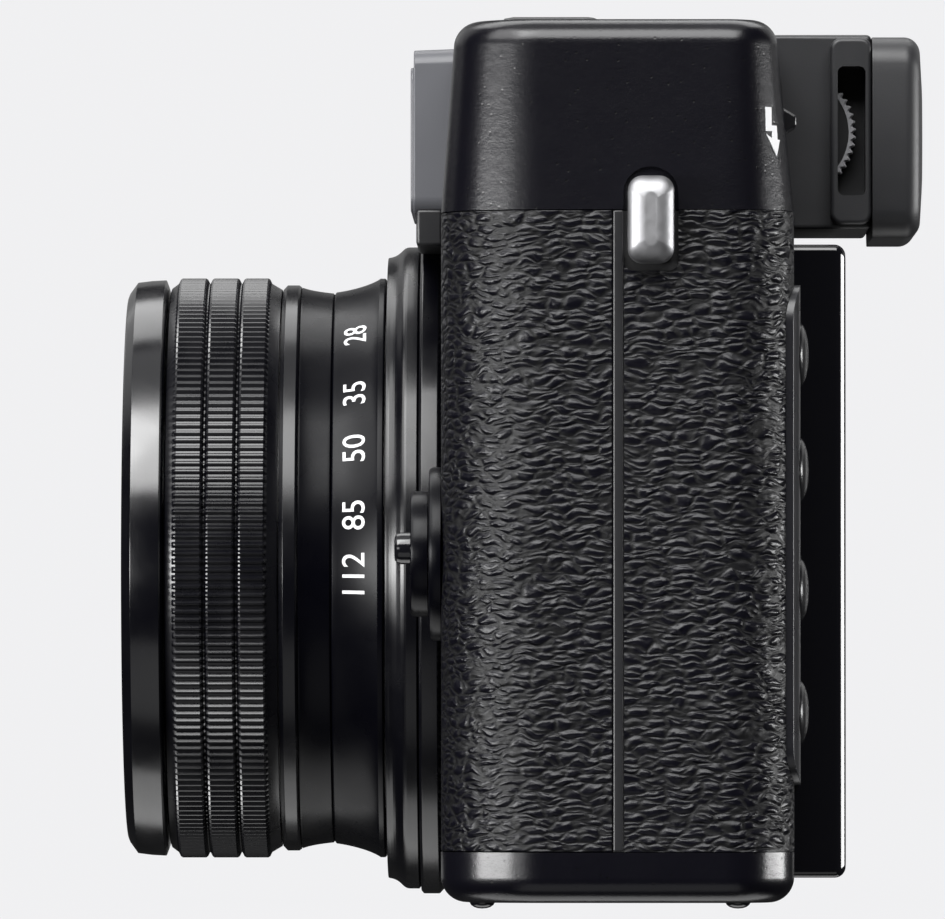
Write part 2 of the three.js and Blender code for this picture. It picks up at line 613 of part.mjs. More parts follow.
buildLens();
add(camera, 'image_sensor', box(-2.5, 11.5, 6.6, 9, 21.4, 33.4), circuit());
add(camera, 'main_board', box(-19.5, 40, 12, 13.2, 8, 50), circuit());

add(camera, 'hot_shoe', hotShoe(), chrome());
dial('mode_dial', modeDial);
dial('exposure_dial', exposureDial);
const release = groupAt(shutter.x, shutter.y, plateTop + 0.1);
add(release, 'shutter_collar', ring([[shutter.collar, 0], [shutter.collar, 1.4],
  [shutter.collar - 0.4, 1.8]], shutter.cap + 0.3, turnedUp, 32), blackMetal());
add(release, 'shutter_button', disc(shutter.cap, 1.05, shutter.top - plateTop - 0.1, turnedUp, 24, 0.4),
  chrome());
add(groupAt(fnButton.x, fnButton.y, plateTop), 'fn_button',
  disc(fnButton.radius, -1.1, 0.75, turnedUp, 16, 0.2), blackMetal());

add(camera, 'flash_lid', flashLid(), blackPaint());
add(camera, 'flash_window', box(25, 49, -0.9, 3.2, 66.2, 67.05), glass());
add(groupAt(slider.x, 0, slider.z), 'flash_slider',
  box(-slider.width / 2, slider.width / 2, 18.6, 21.7, -slider.height / 2, slider.height / 2),
  blackPlastic());
add(groupAt(body.halfWidth - skin, lug.y, lug.z), 'strap_lug_left', strapLug(1), chrome());
add(groupAt(skin - body.halfWidth, lug.y, lug.z), 'strap_lug_right', strapLug(-1), chrome());
focusMode();

buildBack();

add(camera, 'battery_door', batteryDoor(), blackPlastic());
add(camera, 'door_latch', box(-30, -26, 5, 12, 0.72, 1.5), blackPlastic());
add(camera, 'battery', box(-54.5, -22.5, 3, 10, 6.4, 45), label());
add(camera, 'memory_card', box(-50, -26, 12, 14.1, 6.4, 38), label());
add(groupAt(tripod.x, tripod.y, 0.45), 'tripod_socket', tripodSocket(), chrome());
add(camera, 'terminal_cover', terminalCover(), blackPlastic());

export default camera;
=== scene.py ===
"""Looks for a compact rangefinder-style camera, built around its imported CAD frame.

Shapes are worked out in millimetres and stored in metres. +Z is up, the lens points along -Y,
and +X is the photographer's left hand.
"""

import json
import math

import bmesh
import bpy
from mathutils import Matrix, Vector

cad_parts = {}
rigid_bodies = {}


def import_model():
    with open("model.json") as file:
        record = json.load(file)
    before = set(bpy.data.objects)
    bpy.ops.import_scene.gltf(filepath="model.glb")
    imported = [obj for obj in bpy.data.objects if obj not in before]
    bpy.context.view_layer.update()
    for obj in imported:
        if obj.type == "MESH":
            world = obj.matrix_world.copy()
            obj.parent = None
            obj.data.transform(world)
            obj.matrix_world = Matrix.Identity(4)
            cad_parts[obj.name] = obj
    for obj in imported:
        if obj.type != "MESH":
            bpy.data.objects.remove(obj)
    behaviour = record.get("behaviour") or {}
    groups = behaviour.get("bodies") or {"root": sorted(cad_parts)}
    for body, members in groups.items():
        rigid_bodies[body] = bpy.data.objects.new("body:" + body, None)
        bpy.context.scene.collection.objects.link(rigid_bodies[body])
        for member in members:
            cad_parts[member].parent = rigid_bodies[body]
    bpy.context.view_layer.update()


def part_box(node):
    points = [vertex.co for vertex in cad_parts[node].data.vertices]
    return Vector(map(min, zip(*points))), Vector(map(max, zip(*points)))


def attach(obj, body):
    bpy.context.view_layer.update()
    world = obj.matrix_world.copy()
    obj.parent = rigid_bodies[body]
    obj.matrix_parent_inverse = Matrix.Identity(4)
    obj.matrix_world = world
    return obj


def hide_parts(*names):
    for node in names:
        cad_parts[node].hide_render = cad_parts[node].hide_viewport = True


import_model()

MM = 0.001
TAU = 2 * math.pi


class Span:
    """The box of a CAD node at rest, in millimetres."""

    def __init__(self, node):
        low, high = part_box(node)
        self.x0, self.y0, self.z0 = (value / MM for value in low)
        self.x1, self.y1, self.z1 = (value / MM for value in high)
        self.x, self.y, self.z = ((low + high) / (2 * MM))


# ------------------------------------------------------------------ driving sizes (mm)

TOP = Span("top_plate")
BASE = Span("bottom_plate")
CORNER_FRONT = 8.0
CORNER_REAR = 5.5
FILLET = 2.0
SKIN = 0.6
FLANGE = Span("lens_flange")
LENS_X, LENS_Z = FLANGE.x, FLANGE.z


# ------------------------------------------------------------------ outlines

def fillet(points, radius, steps=6):
    """Rounds the corners of a closed outline. A point (u, v, r) has its own radius."""
    rounded = []
    count = len(points)
    for i, point in enumerate(points):
        r = point[2] if len(point) > 2 else radius
        p = Vector(point[:2])
        before = Vector(points[i - 1][:2]) - p
        after = Vector(points[(i + 1) % count][:2]) - p
        angle = before.angle(after, math.pi)
        if r <= 0 or angle > math.radians(176):
            rounded.append(tuple(p))
            continue
        reach = min(r / math.tan(angle / 2), 0.49 * before.length, 0.49 * after.length)
        r = reach * math.tan(angle / 2)
        a, b = before.normalized(), after.normalized()
        centre = p + (a + b).normalized() * (r / math.sin(angle / 2))
        start = p + a * reach - centre
        sweep = start.angle_signed(p + b * reach - centre)
        for k in range(steps + 1):
            turn = Matrix.Rotation(-sweep * k / steps, 2)
            rounded.append(tuple(centre + turn @ start))
    return rounded


def rectangle(u0, u1, v0, v1, radius=0.0, steps=6):
    corners = [(u0, v0), (u1, v0), (u1, v1), (u0, v1)]
    return fillet(corners, radius, steps) if radius else corners


def circle(u, v, radius, count=64):
    angles = [TAU * k / count for k in range(count)]
    return [(u + radius * math.cos(a), v + radius * math.sin(a)) for a in angles]


def bezier(start, c1, c2, end, steps=16):
    points = [Vector(p) for p in (start, c1, c2, end)]
    curve = []
    for k in range(steps + 1):
        t = k / steps
        weights = ((1 - t) ** 3, 3 * t * (1 - t) ** 2, 3 * t * t * (1 - t), t ** 3)
        curve.append(tuple(sum((w * p for w, p in zip(weights, points)), Vector((0, 0)))))
    return curve


def body_plan(side=0.0, front=None, rear=None, steps=14):
    """The camera's outline from above, drawn in at the sides, the front and the rear."""
    front = side if front is None else front
    rear = side if rear is None else rear
    half = BASE.x1 - side
    y0, y1 = BASE.y0 + front, BASE.y1 - rear
    r0, r1 = CORNER_FRONT - front, CORNER_REAR - rear
    return fillet([(-half, y0, r0), (half, y0, r0), (half, y1, r1), (-half, y1, r1)], 0, steps)


# ------------------------------------------------------------------ meshes

def new_object(name, vertices, faces):
    mesh = bpy.data.meshes.new(name)
    mesh.from_pydata([tuple(c * MM for c in v) for v in vertices], [], faces)
    tidy = bmesh.new()
    tidy.from_mesh(mesh)
    bmesh.ops.remove_doubles(tidy, verts=tidy.verts, dist=1e-7)
    bmesh.ops.recalc_face_normals(tidy, faces=tidy.faces)
    tidy.to_mesh(mesh)
    tidy.free()
    obj = bpy.data.objects.new(name, mesh)
    bpy.context.scene.collection.objects.link(obj)
    return obj


PLACES = {
    "x": lambda u, v, h: (h, u, v),
    "y": lambda u, v, h: (u, h, v),
    "z": lambda u, v, h: (u, v, h),
    "lens": lambda u, v, h: (LENS_X + u, -h, LENS_Z + v),
}


def loft(name, rings, place):
    """Skins rings of (outline, height) and closes both ends."""
    vertices = [place(u, v, h) for outline, h in rings for u, v in outline]
    count = len(rings[0][0])
    faces = []
    for level in range(len(rings) - 1):
        for i in range(count):
            a, b = level * count + i, level * count + (i + 1) % count
            faces.append((a, b, b + count, a + count))
    faces.append(tuple(range(count)))
    faces.append(tuple(range((len(rings) - 1) * count, len(rings) * count)))
    return new_object(name, vertices, faces)


def extrude(name, outline, axis, low, high):
    """Along x an outline is (y, z), along y it is (x, z), and along z it is (x, y)."""
    return loft(name, [(outline, low), (outline, high)], PLACES[axis])


def revolve(name, profile, place, centre=(0, 0), segments=128, teeth=0, depth=0.0, toothed=None):
    """Turns a closed profile of (radius, height). Rim points inside toothed heights get teeth."""
    if teeth:
        shares = ((0.0, 0.0), (0.30, 1.0), (0.46, 1.0), (0.76, 0.0))
        columns = [((k + share) / teeth, ridge) for k in range(teeth) for share, ridge in shares]
    else:
        columns = [(k / segments, 1.0) for k in range(segments)]
    vertices, faces = [], []
    rim = max(r for r, h in profile)
    for turn, ridge in columns:
        c, s = math.cos(TAU * turn), math.sin(TAU * turn)
        for r, h in profile:
            if toothed and toothed[0] <= h <= toothed[1] and r > rim - 2.2 * depth:
                r -= depth * (1 - ridge)
            vertices.append(place(centre[0] + r * c, centre[1] + r * s, h))
    size, total = len(profile), len(columns)
    for k in range(total):
        for i in range(size):
            j = (i + 1) % size
            a, b = k * size, (k + 1) % total * size
            if profile[i][0] == 0 and profile[j][0] == 0:
                continue
            if profile[i][0] == 0:
                faces.append((a + i, b + j, a + j))
            elif profile[j][0] == 0:
                faces.append((a + i, b + i, a + j))
            else:
                faces.append((a + i, b + i, b + j, a + j))
    return new_object(name, vertices, faces)


def bake(obj):
    """Applies an object's modifiers to its mesh."""
    bpy.context.view_layer.update()
    shaped = obj.evaluated_get(bpy.context.evaluated_depsgraph_get())
    mesh = bpy.data.meshes.new_from_object(shaped)
    obj.modifiers.clear()
    obj.data = mesh
    mesh.name = obj.name
    return obj


def combine(obj, others, operation):
    for other in others:
        step = obj.modifiers.new("step", "BOOLEAN")
        step.operation = operation
        step.solver = "EXACT"
        step.object = other
    bake(obj)
    for other in others:
        bpy.data.objects.remove(other)
    return obj


def carve(obj, *cutters):
    return combine(obj, cutters, "DIFFERENCE")


def join(obj, *others):
    return combine(obj, others, "UNION")


def soften(obj, width, segments=3, angle=38):
    """Rounds an object's sharp edges."""
    edges = obj.modifiers.new("edges", "BEVEL")
    edges.width = width * MM
    edges.segments = segments
    edges.limit_method = "ANGLE"
    edges.angle_limit = math.radians(angle)
    edges.use_clamp_overlap = True
    return bake(obj)


def settle(obj, material, body, *nodes, slot=None, sharp=32):
    """Gives a finished piece its shading, its material, the body it rides on and its CAD nodes."""
    obj.data.shade_smooth()
    obj.data.set_sharp_from_angle(angle=math.radians(sharp))
    weighted = obj.modifiers.new("normals", "WEIGHTED_NORMAL")
    weighted.keep_sharp = True
    obj.data.materials.clear()
    obj.data.materials.append(material)
    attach(obj, body)
    if nodes:
        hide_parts(*nodes)
    return obj


# ------------------------------------------------------------------ materials

class Recipe:
    """A material's node tree, worked in millimetres of the object's own space."""

    def __init__(self, name, color, roughness, **settings):
        self.material = bpy.data.materials.new(name)
        self.material.use_nodes = True
        self.tree = self.material.node_tree
        self.shader = self.tree.nodes["Principled BSDF"]
        self.set("Base Color", (*color, 1))
        self.set("Roughness", roughness)
        for socket, value in settings.items():
            self.set(socket.replace("_", " "), value)
        place = self.node("ShaderNodeTexCoord").outputs["Object"]
        self.place = self.math3("SCALE", place, scale=1 / MM)
        self.heights = []

    def set(self, socket, value):
        self.shader.inputs[socket].default_value = value

    def node(self, kind, inputs=None, **properties):
        made = self.tree.nodes.new(kind)
        for key, value in properties.items():
            setattr(made, key, value)
        for key, value in (inputs or {}).items():
            if isinstance(value, bpy.types.NodeSocket):
                self.tree.links.new(value, made.inputs[key])
            else:
                made.inputs[key].default_value = value
        return made

    def math3(self, operation, a, b=None, scale=None):
        inputs = {0: a}
        if b is not None:
            inputs[1] = b
        if scale is not None:
            inputs["Scale"] = scale
        return self.node("ShaderNodeVectorMath", inputs, operation=operation).outputs[0]

    def math(self, operation, a, b=0.0, c=0.0):
        return self.node("ShaderNodeMath", {0: a, 1: b, 2: c}, operation=operation).outputs[0]

    def noise(self, scale, detail=2.0, place=None, rough=0.5):
        inputs = {"Vector": place or self.place, "Scale": scale, "Detail": detail, "Roughness": rough}
        return self.node("ShaderNodeTexNoise", inputs).outputs["Fac"]

    def cells(self, scale, feature="F1", place=None, output="Distance", smooth=None):
        inputs = {"Vector": place or self.place, "Scale": scale}
        if smooth is not None:
            inputs["Smoothness"] = smooth
        return self.node("ShaderNodeTexVoronoi", inputs, feature=feature).outputs[output]

    def ramp(self, value, low, high, out_low=0.0, out_high=1.0, smooth=True):
        inputs = {"Value": value, "From Min": low, "From Max": high, "To Min": out_low, "To Max": out_high}
        kind = "SMOOTHSTEP" if smooth else "LINEAR"
        return self.node("ShaderNodeMapRange", inputs, interpolation_type=kind).outputs[0]

    def bump(self, height, depth):
        """Raises the surface by depth millimetres where height is 1."""
        inputs = {"Height": height, "Distance": depth * MM, "Strength": 1.0}
        if self.heights:
            inputs["Normal"] = self.heights[-1]
        self.heights.append(self.node("ShaderNodeBump", inputs).outputs[0])
        self.tree.links.new(self.heights[-1], self.shader.inputs["Normal"])

    def vary(self, socket, value):
        self.tree.links.new(value, self.shader.inputs[socket])

    def tint(self, value, dark, light):
        mix = self.node("ShaderNodeMix", data_type="RGBA")
        self.tree.links.new(value, mix.inputs[0])
        mix.inputs[6].default_value = (*dark, 1)
        mix.inputs[7].default_value = (*light, 1)
        self.tree.links.new(mix.outputs[2], self.shader.inputs["Base Color"])


def painted_alloy():
    """Satin black paint on a cast cover: orange peel, with small shallow pits whose colour is darkened as
    painted shade.
    """
    black = (0.0014, 0.0013, 0.0028)
    m = Recipe("painted_alloy", black, 0.24, Specular_IOR_Level=0.42)
    peel = m.noise(1.6, 4)
    present = m.ramp(m.cells(1.5, output="Color"), 0.30, 0.40)
    pit = m.ramp(m.cells(1.5), 0.06, 0.20, 1.0, 0.0)
    pits_and_painted_shade = m.math("MULTIPLY", pit, present)
    m.bump(peel, 0.012)
    m.bump(m.noise(7, 3), 0.007)
    m.bump(pits_and_painted_shade, -0.008)
    m.vary("Roughness", m.ramp(m.noise(0.35, 3), 0.3, 0.7, 0.235, 0.245))
    # Painted shade: the pits are coloured near black, as if their hollows were shadowed.
    m.tint(pits_and_painted_shade, black, (0.0002, 0.0002, 0.0002))
    return m.material


def lens_metal(name="lens_metal", color=(0.0008, 0.0008, 0.0018), roughness=0.18, level=0.75):
    """Black anodised metal, polished, with a very fine turned grain."""
    m = Recipe(name, color, roughness, Specular_IOR_Level=level)
    m.bump(m.noise(9, 2), 0.0015)
    m.vary("Roughness", m.ramp(m.noise(0.25, 3), 0.3, 0.7, roughness - 0.03, roughness + 0.04))
    return m.material


def leatherette():
    """Moulded grain: low pillows drawn out across, with narrow creases between them that are painted darker
    as painted shade.
    """
    m = Recipe("leatherette", (0.0013, 0.0012, 0.0030), 0.30, Specular_IOR_Level=0.28)
    drift = m.node("ShaderNodeTexNoise", {"Vector": m.place, "Scale": 0.45, "Detail": 1.0}).outputs["Color"]
    drift = m.math3("SCALE", m.math3("SUBTRACT", drift, (0.5, 0.5, 0.5)), scale=1.1)
    wandering = m.math3("ADD", m.place, drift)
    long = m.math3("MULTIPLY", wandering, (0.62, 0.62, 1.70))
    short = m.math3("MULTIPLY", wandering, (1.30, 1.30, 2.80))
    pillows = m.ramp(m.cells(1.0, "SMOOTH_F1", long, smooth=0.35), 0.05, 0.75, 1.0, 0.0)
    creases_and_painted_shade = m.ramp(m.cells(1.0, "DISTANCE_TO_EDGE", long), 0.0, 0.22)
    beads = m.ramp(m.cells(1.0, "SMOOTH_F1", short, smooth=0.5), 0.05, 0.7, 1.0, 0.0)
    m.bump(pillows, 0.11)
    m.bump(creases_and_painted_shade, 0.03)
    m.bump(beads, 0.045)
    m.bump(m.noise(4, 3), 0.013)
    m.vary("Roughness", m.ramp(creases_and_painted_shade, 0.0, 1.0, 0.50, 0.31))
    # Painted shade: the creases are coloured darker than the pillow tops, as if shadowed.
    m.tint(creases_and_painted_shade, (0.0005, 0.0005, 0.0008), (0.0014, 0.0013, 0.0032))
    return m.material


def plastic(name, color, roughness, grain=0.010, scale=4.0, level=0.5):
    """Moulded plastic with a fine spark-eroded grain."""
    m = Recipe(name, color, roughness, Specular_IOR_Level=level)
    m.bump(m.noise(scale, 3), grain)
    m.vary("Roughness", m.ramp(m.noise(0.3, 2), 0.3, 0.7, roughness - 0.015, roughness + 0.015))
    return m.material


def chrome(name="chrome", roughness=0.16, shine=0.80):
    """Bright plated metal with faint handling marks."""
    m = Recipe(name, (shine, shine, 1.03 * shine), roughness, Metallic=1.0)
    m.bump(m.noise(0.8, 2), 0.0015)
    m.vary("Roughness", m.ramp(m.noise(1.3, 4), 0.3, 0.7, roughness - 0.04, roughness + 0.04))
    return m.material


def glass(name, color, roughness=0.02, transmission=1.0, coat=(0.86, 0.88, 1.0)):
    """Optical glass with a thin coloured coating."""
    m = Recipe(name, color, roughness, Transmission_Weight=transmission, IOR=1.6, Coat_Weight=1.0,
               Coat_Roughness=0.02, Coat_Tint=(*coat, 1))
    m.tint(m.noise(0.05, 1), color, tuple(0.8 * c for c in color))
    return m.material


def paint(name, color, roughness=0.5):
    """Filled engraving paint, very slightly uneven."""
    m = Recipe(name, color, roughness)
    m.tint(m.noise(2.0, 2), color, tuple(0.88 * c for c in color))
    return m.material


def board():
    """Circuit board: green mask over faint tracks."""
    m = Recipe("board", (0.01, 0.07, 0.03), 0.45)
    tracks = m.ramp(m.cells(0.5, "DISTANCE_TO_EDGE"), 0.02, 0.06)
    m.tint(tracks, (0.03, 0.16, 0.07), (0.008, 0.06, 0.025))
    m.bump(tracks, 0.02)
    return m.material


PAINTED = painted_alloy()
METAL = lens_metal()
METAL_DARK = lens_metal("lens_metal_dark", (0.003, 0.003, 0.0035), 0.38)
SATIN = lens_metal("lens_satin", (0.0008, 0.0008, 0.0018), 0.28, 0.12)
FLANGE_METAL = lens_metal("flange_metal", (0.0008, 0.0008, 0.0018), 0.24, 0.45)
KNURLED = lens_metal("knurled_metal", (0.0010, 0.0010, 0.0022), 0.28, 0.60)
LEATHER = leatherette()
BEZEL = plastic("bezel_plastic", (0.062, 0.063, 0.070), 0.42, 0.004, 6.0)
WHEEL = plastic("wheel_teeth", (0.22, 0.22, 0.23), 0.34, 0.002, 6.0)
GREY = plastic("grey_plastic", (0.011, 0.0112, 0.0128), 0.46, 0.006, 6.0)
PANEL = plastic("panel_plastic", (0.008, 0.008, 0.010), 0.28, 0.004, 5.0)
BLACK = plastic("black_plastic", (0.004, 0.004, 0.005), 0.40)
KEYCAP = plastic("keycap_plastic", (0.006, 0.006, 0.007), 0.26, 0.004, 7.0)
GLOSS = plastic("gloss_black", (0.0035, 0.0035, 0.0048), 0.12, 0.0008, 1.2, 0.6)
CHROME = chrome()
SATIN_CHROME = chrome("satin_chrome", 0.48, 0.27)
FRONT_GLASS = glass("front_glass", (0.93, 0.94, 0.95))
WINDOW_GLASS = glass("window_glass", (0.60, 0.61, 0.63), coat=(0.95, 0.96, 1.0))
SCREEN = plastic("screen_glass", (0.006, 0.007, 0.010), 0.06, 0.0008, 0.8, 0.7)
LAMP = plastic("lamp_lens", (0.30, 0.27, 0.23), 0.18, 0.02, 3.0)
DIFFUSER = plastic("flash_diffuser", (0.70, 0.72, 0.72), 0.22, 0.03, 2.2)
WHITE = paint("white_paint", (0.62, 0.62, 0.63))
BOARD = board()
LABEL = plastic("grey_label", (0.20, 0.21, 0.22), 0.55)


# ------------------------------------------------------------------ body covers

def lug_arch(side, depth=0.62):
    """The arched hollow around a strap lug."""
    lug = Span("strap_lug_left")
    half = (lug.y1 - lug.y0) / 2 + 0.35
    top, bottom = lug.z1 + 0.8, lug.z0 - 0.55
    outline = fillet([(lug.y - half, bottom, 0.8), (lug.y + half, bottom, 0.8),
                      (lug.y + half, top, half - 0.05), (lug.y - half, top, half - 0.05)], 0, 10)
    low, high = BASE.x1 - depth, BASE.x1 + 4
    if side < 0:
        low, high = -high, -low
    return extrude("arch", outline, "x", low, high)


def box(x0, x1, y0, y1, z0, z1):
    return extrude("box", rectangle(x0, x1, y0, y1), "z", z0, z1)


def top_plate():
    taper_front, taper_rear = 1.0, 1.3
    shoulder = TOP.z1 - FILLET
    rings = []
    for k in range(9):
        share = k / 8
        rings.append((share * taper_front, share * taper_rear, TOP.z0 + share * (shoulder - TOP.z0)))
    for k in range(1, 11):
        turn = math.pi / 2 * k / 10
        inset = FILLET * (1 - math.cos(turn))
        rings.append((taper_front + inset, taper_rear + inset, shoulder + FILLET * math.sin(turn)))
    lofted = [(body_plan(front, front, rear), z) for front, rear, z in rings]
    plate = loft("top_plate_cover", lofted, PLACES["z"])
    bezel, house, lid, shoe = (Span(n) for n in ("finder_bezel", "eyepiece_housing", "flash_lid", "hot_shoe"))
    slider, fn = Span("flash_slider"), Span("fn_button")
    gap = 0.05
    cutters = [
        box(bezel.x0 - gap, bezel.x1 + gap, -20, bezel.y1, 50, bezel.z1 + gap),
        box(house.x0 - gap, house.x1 - 1.85, house.y0, 30, 50, 80),
        box(15, 30, -6, 25, 57, 66),
        extrude("well", rectangle(lid.x0 - 0.3, lid.x1 + 0.3, lid.y0 - 0.3, lid.y1 + 0.3, 0.5), "z",
                lid.z0 - 1.9, 80),
        box(shoe.x0 - gap, shoe.x1 + gap, shoe.y0 - gap, shoe.y1 + gap, shoe.z0, 80),
        box(shoe.x0 + 1.3, shoe.x1 - 1.3, shoe.y1 - 1, 30, shoe.z0 + 0.5, 80),
        box(slider.x0 - 0.2, slider.x1 + 0.2, slider.y0 - 0.5, 30, slider.z0 - 2.2, slider.z1 + 0.2),
        extrude("hole", circle(fn.x, fn.y, (fn.x1 - fn.x0) / 2 + 0.2, 40), "z", 66, 80),
        lug_arch(1), lug_arch(-1),
    ]
    settle(carve(plate, *cutters), PAINTED, "camera", "top_plate", slot="black_paint")


def bottom_plate():
    rings = []
    floor = BASE.z0 + 0.6
    for k in range(11):
        turn = math.pi / 2 * k / 10
        rings.append((FILLET * (1 - math.sin(turn)), floor + FILLET * (1 - math.cos(turn))))
    rings.append((0.0, BASE.z1))
    plate = loft("bottom_plate_cover", [(body_plan(inset), z) for inset, z in rings], PLACES["z"])
    door, socket = Span("battery_door"), Span("tripod_socket")
    radius = (socket.x1 - socket.x0) / 2 + 0.05
    plate = carve(
        plate,
        box(door.x0 - 0.2, door.x1 + 0.2, door.y0 - 0.2, door.y1 + 0.2, -1, 6),
        extrude("hole", circle(socket.x, socket.y, radius), "z", -1, 6),
    )
    settle(plate, PAINTED, "camera", "bottom_plate", slot="black_paint")
    for x in (-44.5, 44.5):
        for y in (-3.0, 17.2):
            dome = [(0, BASE.z0), (0.35, 0.03), (0.65, 0.12), (0.88, 0.28), (0.98, 0.45), (1.0, floor + 0.1),
                    (0, floor + 0.1)]
            name = f"foot_{'l' if x > 0 else 'r'}{'f' if y < 0 else 'b'}"
            foot = revolve(name, dome, PLACES["z"], (x, y), 32)
            settle(foot, GLOSS, "camera", slot="black_plastic")


def band(points, inset_points):
    return points + inset_points[::-1]


def wrap_path(start_y, corner, end_x, inset, steps=20):
    """Half a wrap, on the left: back or forward along the side, round one corner, then along to end_x."""
    x = BASE.x1 - inset
    if corner == "front":
        y, r, way = BASE.y0 + inset, CORNER_FRONT - inset, 1
    else:
        y, r, way = BASE.y1 - inset, CORNER_REAR - inset, -1
    path = [(x, start_y)]
    for k in range(steps + 1):
        turn = math.pi / 2 * k / steps
        path.append((x - r + r * math.cos(turn), y + way * (r - r * math.sin(turn))))
    path = [point for point in path if point[0] > end_x + 0.01]
    return path + [(end_x, y)]


def mirrored(points):
    return [(-x, y) for x, y in points]


def leather():
    front, left, right = (Span(n) for n in ("leather_front", "leather_rear_left", "leather_rear_right"))

    def front_side(inset):
        half = wrap_path(front.y1, "front", 0.0, inset)
        return half + mirrored(half[:-1])[::-1]

    sheet = extrude("leather_front_wrap", band(front_side(0), front_side(SKIN)), "z", front.z0, front.z1)
    hole = extrude("hole", circle(LENS_X, LENS_Z, 21.3, 96), "y", -20, 0)
    sheet = soften(carve(sheet, hole), 0.16, 2)
    settle(sheet, LEATHER, "camera", "leather_front", slot="leatherette")

    panel, cover = Span("button_panel"), Span("terminal_cover")
    rear = band(*(wrap_path(left.y0, "rear", left.x0, inset) for inset in (0, SKIN)))
    piece = extrude("leather_rear_left_wrap", rear, "z", left.z0, left.z1)
    corner = 3.0
    cut = fillet([(30, panel.z0 - 0.05, 0), (panel.x1 + 0.05, panel.z0 - 0.05, corner),
                  (panel.x1 + 0.05, panel.z1 + 0.05, corner), (30, panel.z1 + 0.05, 0)], 0, 10)
    piece = soften(carve(piece, extrude("cut", cut, "y", 17, 30), lug_arch(1, 0.8)), 0.14, 2)
    settle(piece, LEATHER, "camera", "leather_rear_left", slot="leatherette")

    rear = band(*(mirrored(wrap_path(right.y0, "rear", -right.x1, inset)) for inset in (0, SKIN)))
    piece = extrude("leather_rear_right_wrap", rear, "z", right.z0, right.z1)
    recess = box(-62, -57.5, cover.y0 - 0.2, cover.y1 + 0.2, cover.z0 - 0.2, cover.z1 + 0.2)
    piece = soften(carve(piece, recess, lug_arch(-1, 0.8)), 0.14, 2)
    settle(piece, LEATHER, "camera", "leather_rear_right", slot="leatherette")

    grip = Span("grip")
    depth, back = grip.y1 - grip.y0, grip.y1
    outline = bezier((grip.x0, back), (grip.x0 + 1, back - 0.75 * depth), (grip.x0 + 3, back - depth),
                     (grip.x0 + 6, back - depth), 14)
    outline += bezier((grip.x0 + 6, back - depth), (grip.x0 + 11, back - depth),
                      (grip.x0 + 14, back - 0.4 * depth), (grip.x1, back), 18)[1:]
    body = soften(extrude("grip_pad", outline, "z", grip.z0, grip.z1), 0.9, 5, 50)
    settle(body, LEATHER, "camera", "grip", slot="leatherette")


def seams():
    """The slim upright strips where the leather's front and rear stretches meet."""
    front, rear = Span("leather_front"), Span("leather_rear_left")
    for name, side in (("seam_strip_left", 1), ("seam_strip_right", -1)):
        x0, x1 = sorted((side * (BASE.x1 - 0.8), side * (BASE.x1 + 0.02)))
        strip = box(x0, x1, front.y1 + 0.03, rear.y0 - 0.03, front.z0, front.z1)
        strip.name = name
        settle(soften(strip, 0.16, 3), BLACK, "camera", slot="black_plastic")


# ------------------------------------------------------------------ viewfinder

def finder():
    bezel, window = Span("finder_bezel"), Span("finder_window")
    bottom, face, rim_top = TOP.z0 + 0.6, bezel.y0 + 0.25, 67.1
    frame_body = extrude("finder_frame", rectangle(bezel.x0, bezel.x1, bottom, bezel.z1, 1.4), "y", face,
                         bezel.y1)
    rim = extrude("rim", rectangle(bezel.x0 + 0.4, bezel.x1 - 0.4, bottom + 0.2, rim_top, 1.2), "y",
                  bezel.y0, face + 1)
    opening = rectangle(window.x0 - 0.05, window.x1 + 0.05, window.z0 - 0.05, window.z1 + 0.05, 1.0)
    lamp = Span("af_lamp")
    frame_body = carve(join(frame_body, rim), extrude("opening", opening, "y", -20, 0),
                       extrude("hole", circle(lamp.x, lamp.z, 2.8, 48), "y", -20, -4))
    frame_body = soften(frame_body, 0.28, 3)
    for vertex in frame_body.data.vertices:
        if vertex.co.z > 67.5 * MM and vertex.co.y < BASE.y0 * MM:
            vertex.co.z -= 0.25 * (BASE.y0 * MM - vertex.co.y) / (BASE.y0 - bezel.y0)
    settle(frame_body, BEZEL, "camera", "finder_bezel", slot="grey_plastic")

    brow = box(bezel.x0 + 0.1, bezel.x1 - 0.1, face + 0.2, BASE.y0 - 0.03, bezel.z0, bottom + 0.4)
    brow.name = "finder_brow"
    around_flange = extrude("bore", circle(LENS_X, LENS_Z, 26.9, 96), "y", -20, 0)
    settle(soften(carve(brow, around_flange), 0.3, 3), BLACK, "camera", slot="black_plastic")

    sheet = extrude("finder_window_glass", rectangle(window.x0, window.x1, window.z0, window.z1, 1.0), "y",
                    window.y0, window.y1)
    settle(soften(sheet, 0.15, 2), WINDOW_GLASS, "camera", "finder_window", slot="glass")
    bulge = [(0, 7.6), (1.2, 7.5), (2.2, 7.2), (2.7, 6.7), (2.7, -lamp.y1), (0, -lamp.y1)]
    lens = revolve("af_lamp_lens", bulge, lambda u, v, h: (lamp.x + u, -h, lamp.z + v), segments=48)
    settle(lens, LAMP, "camera", "af_lamp", slot="glass")


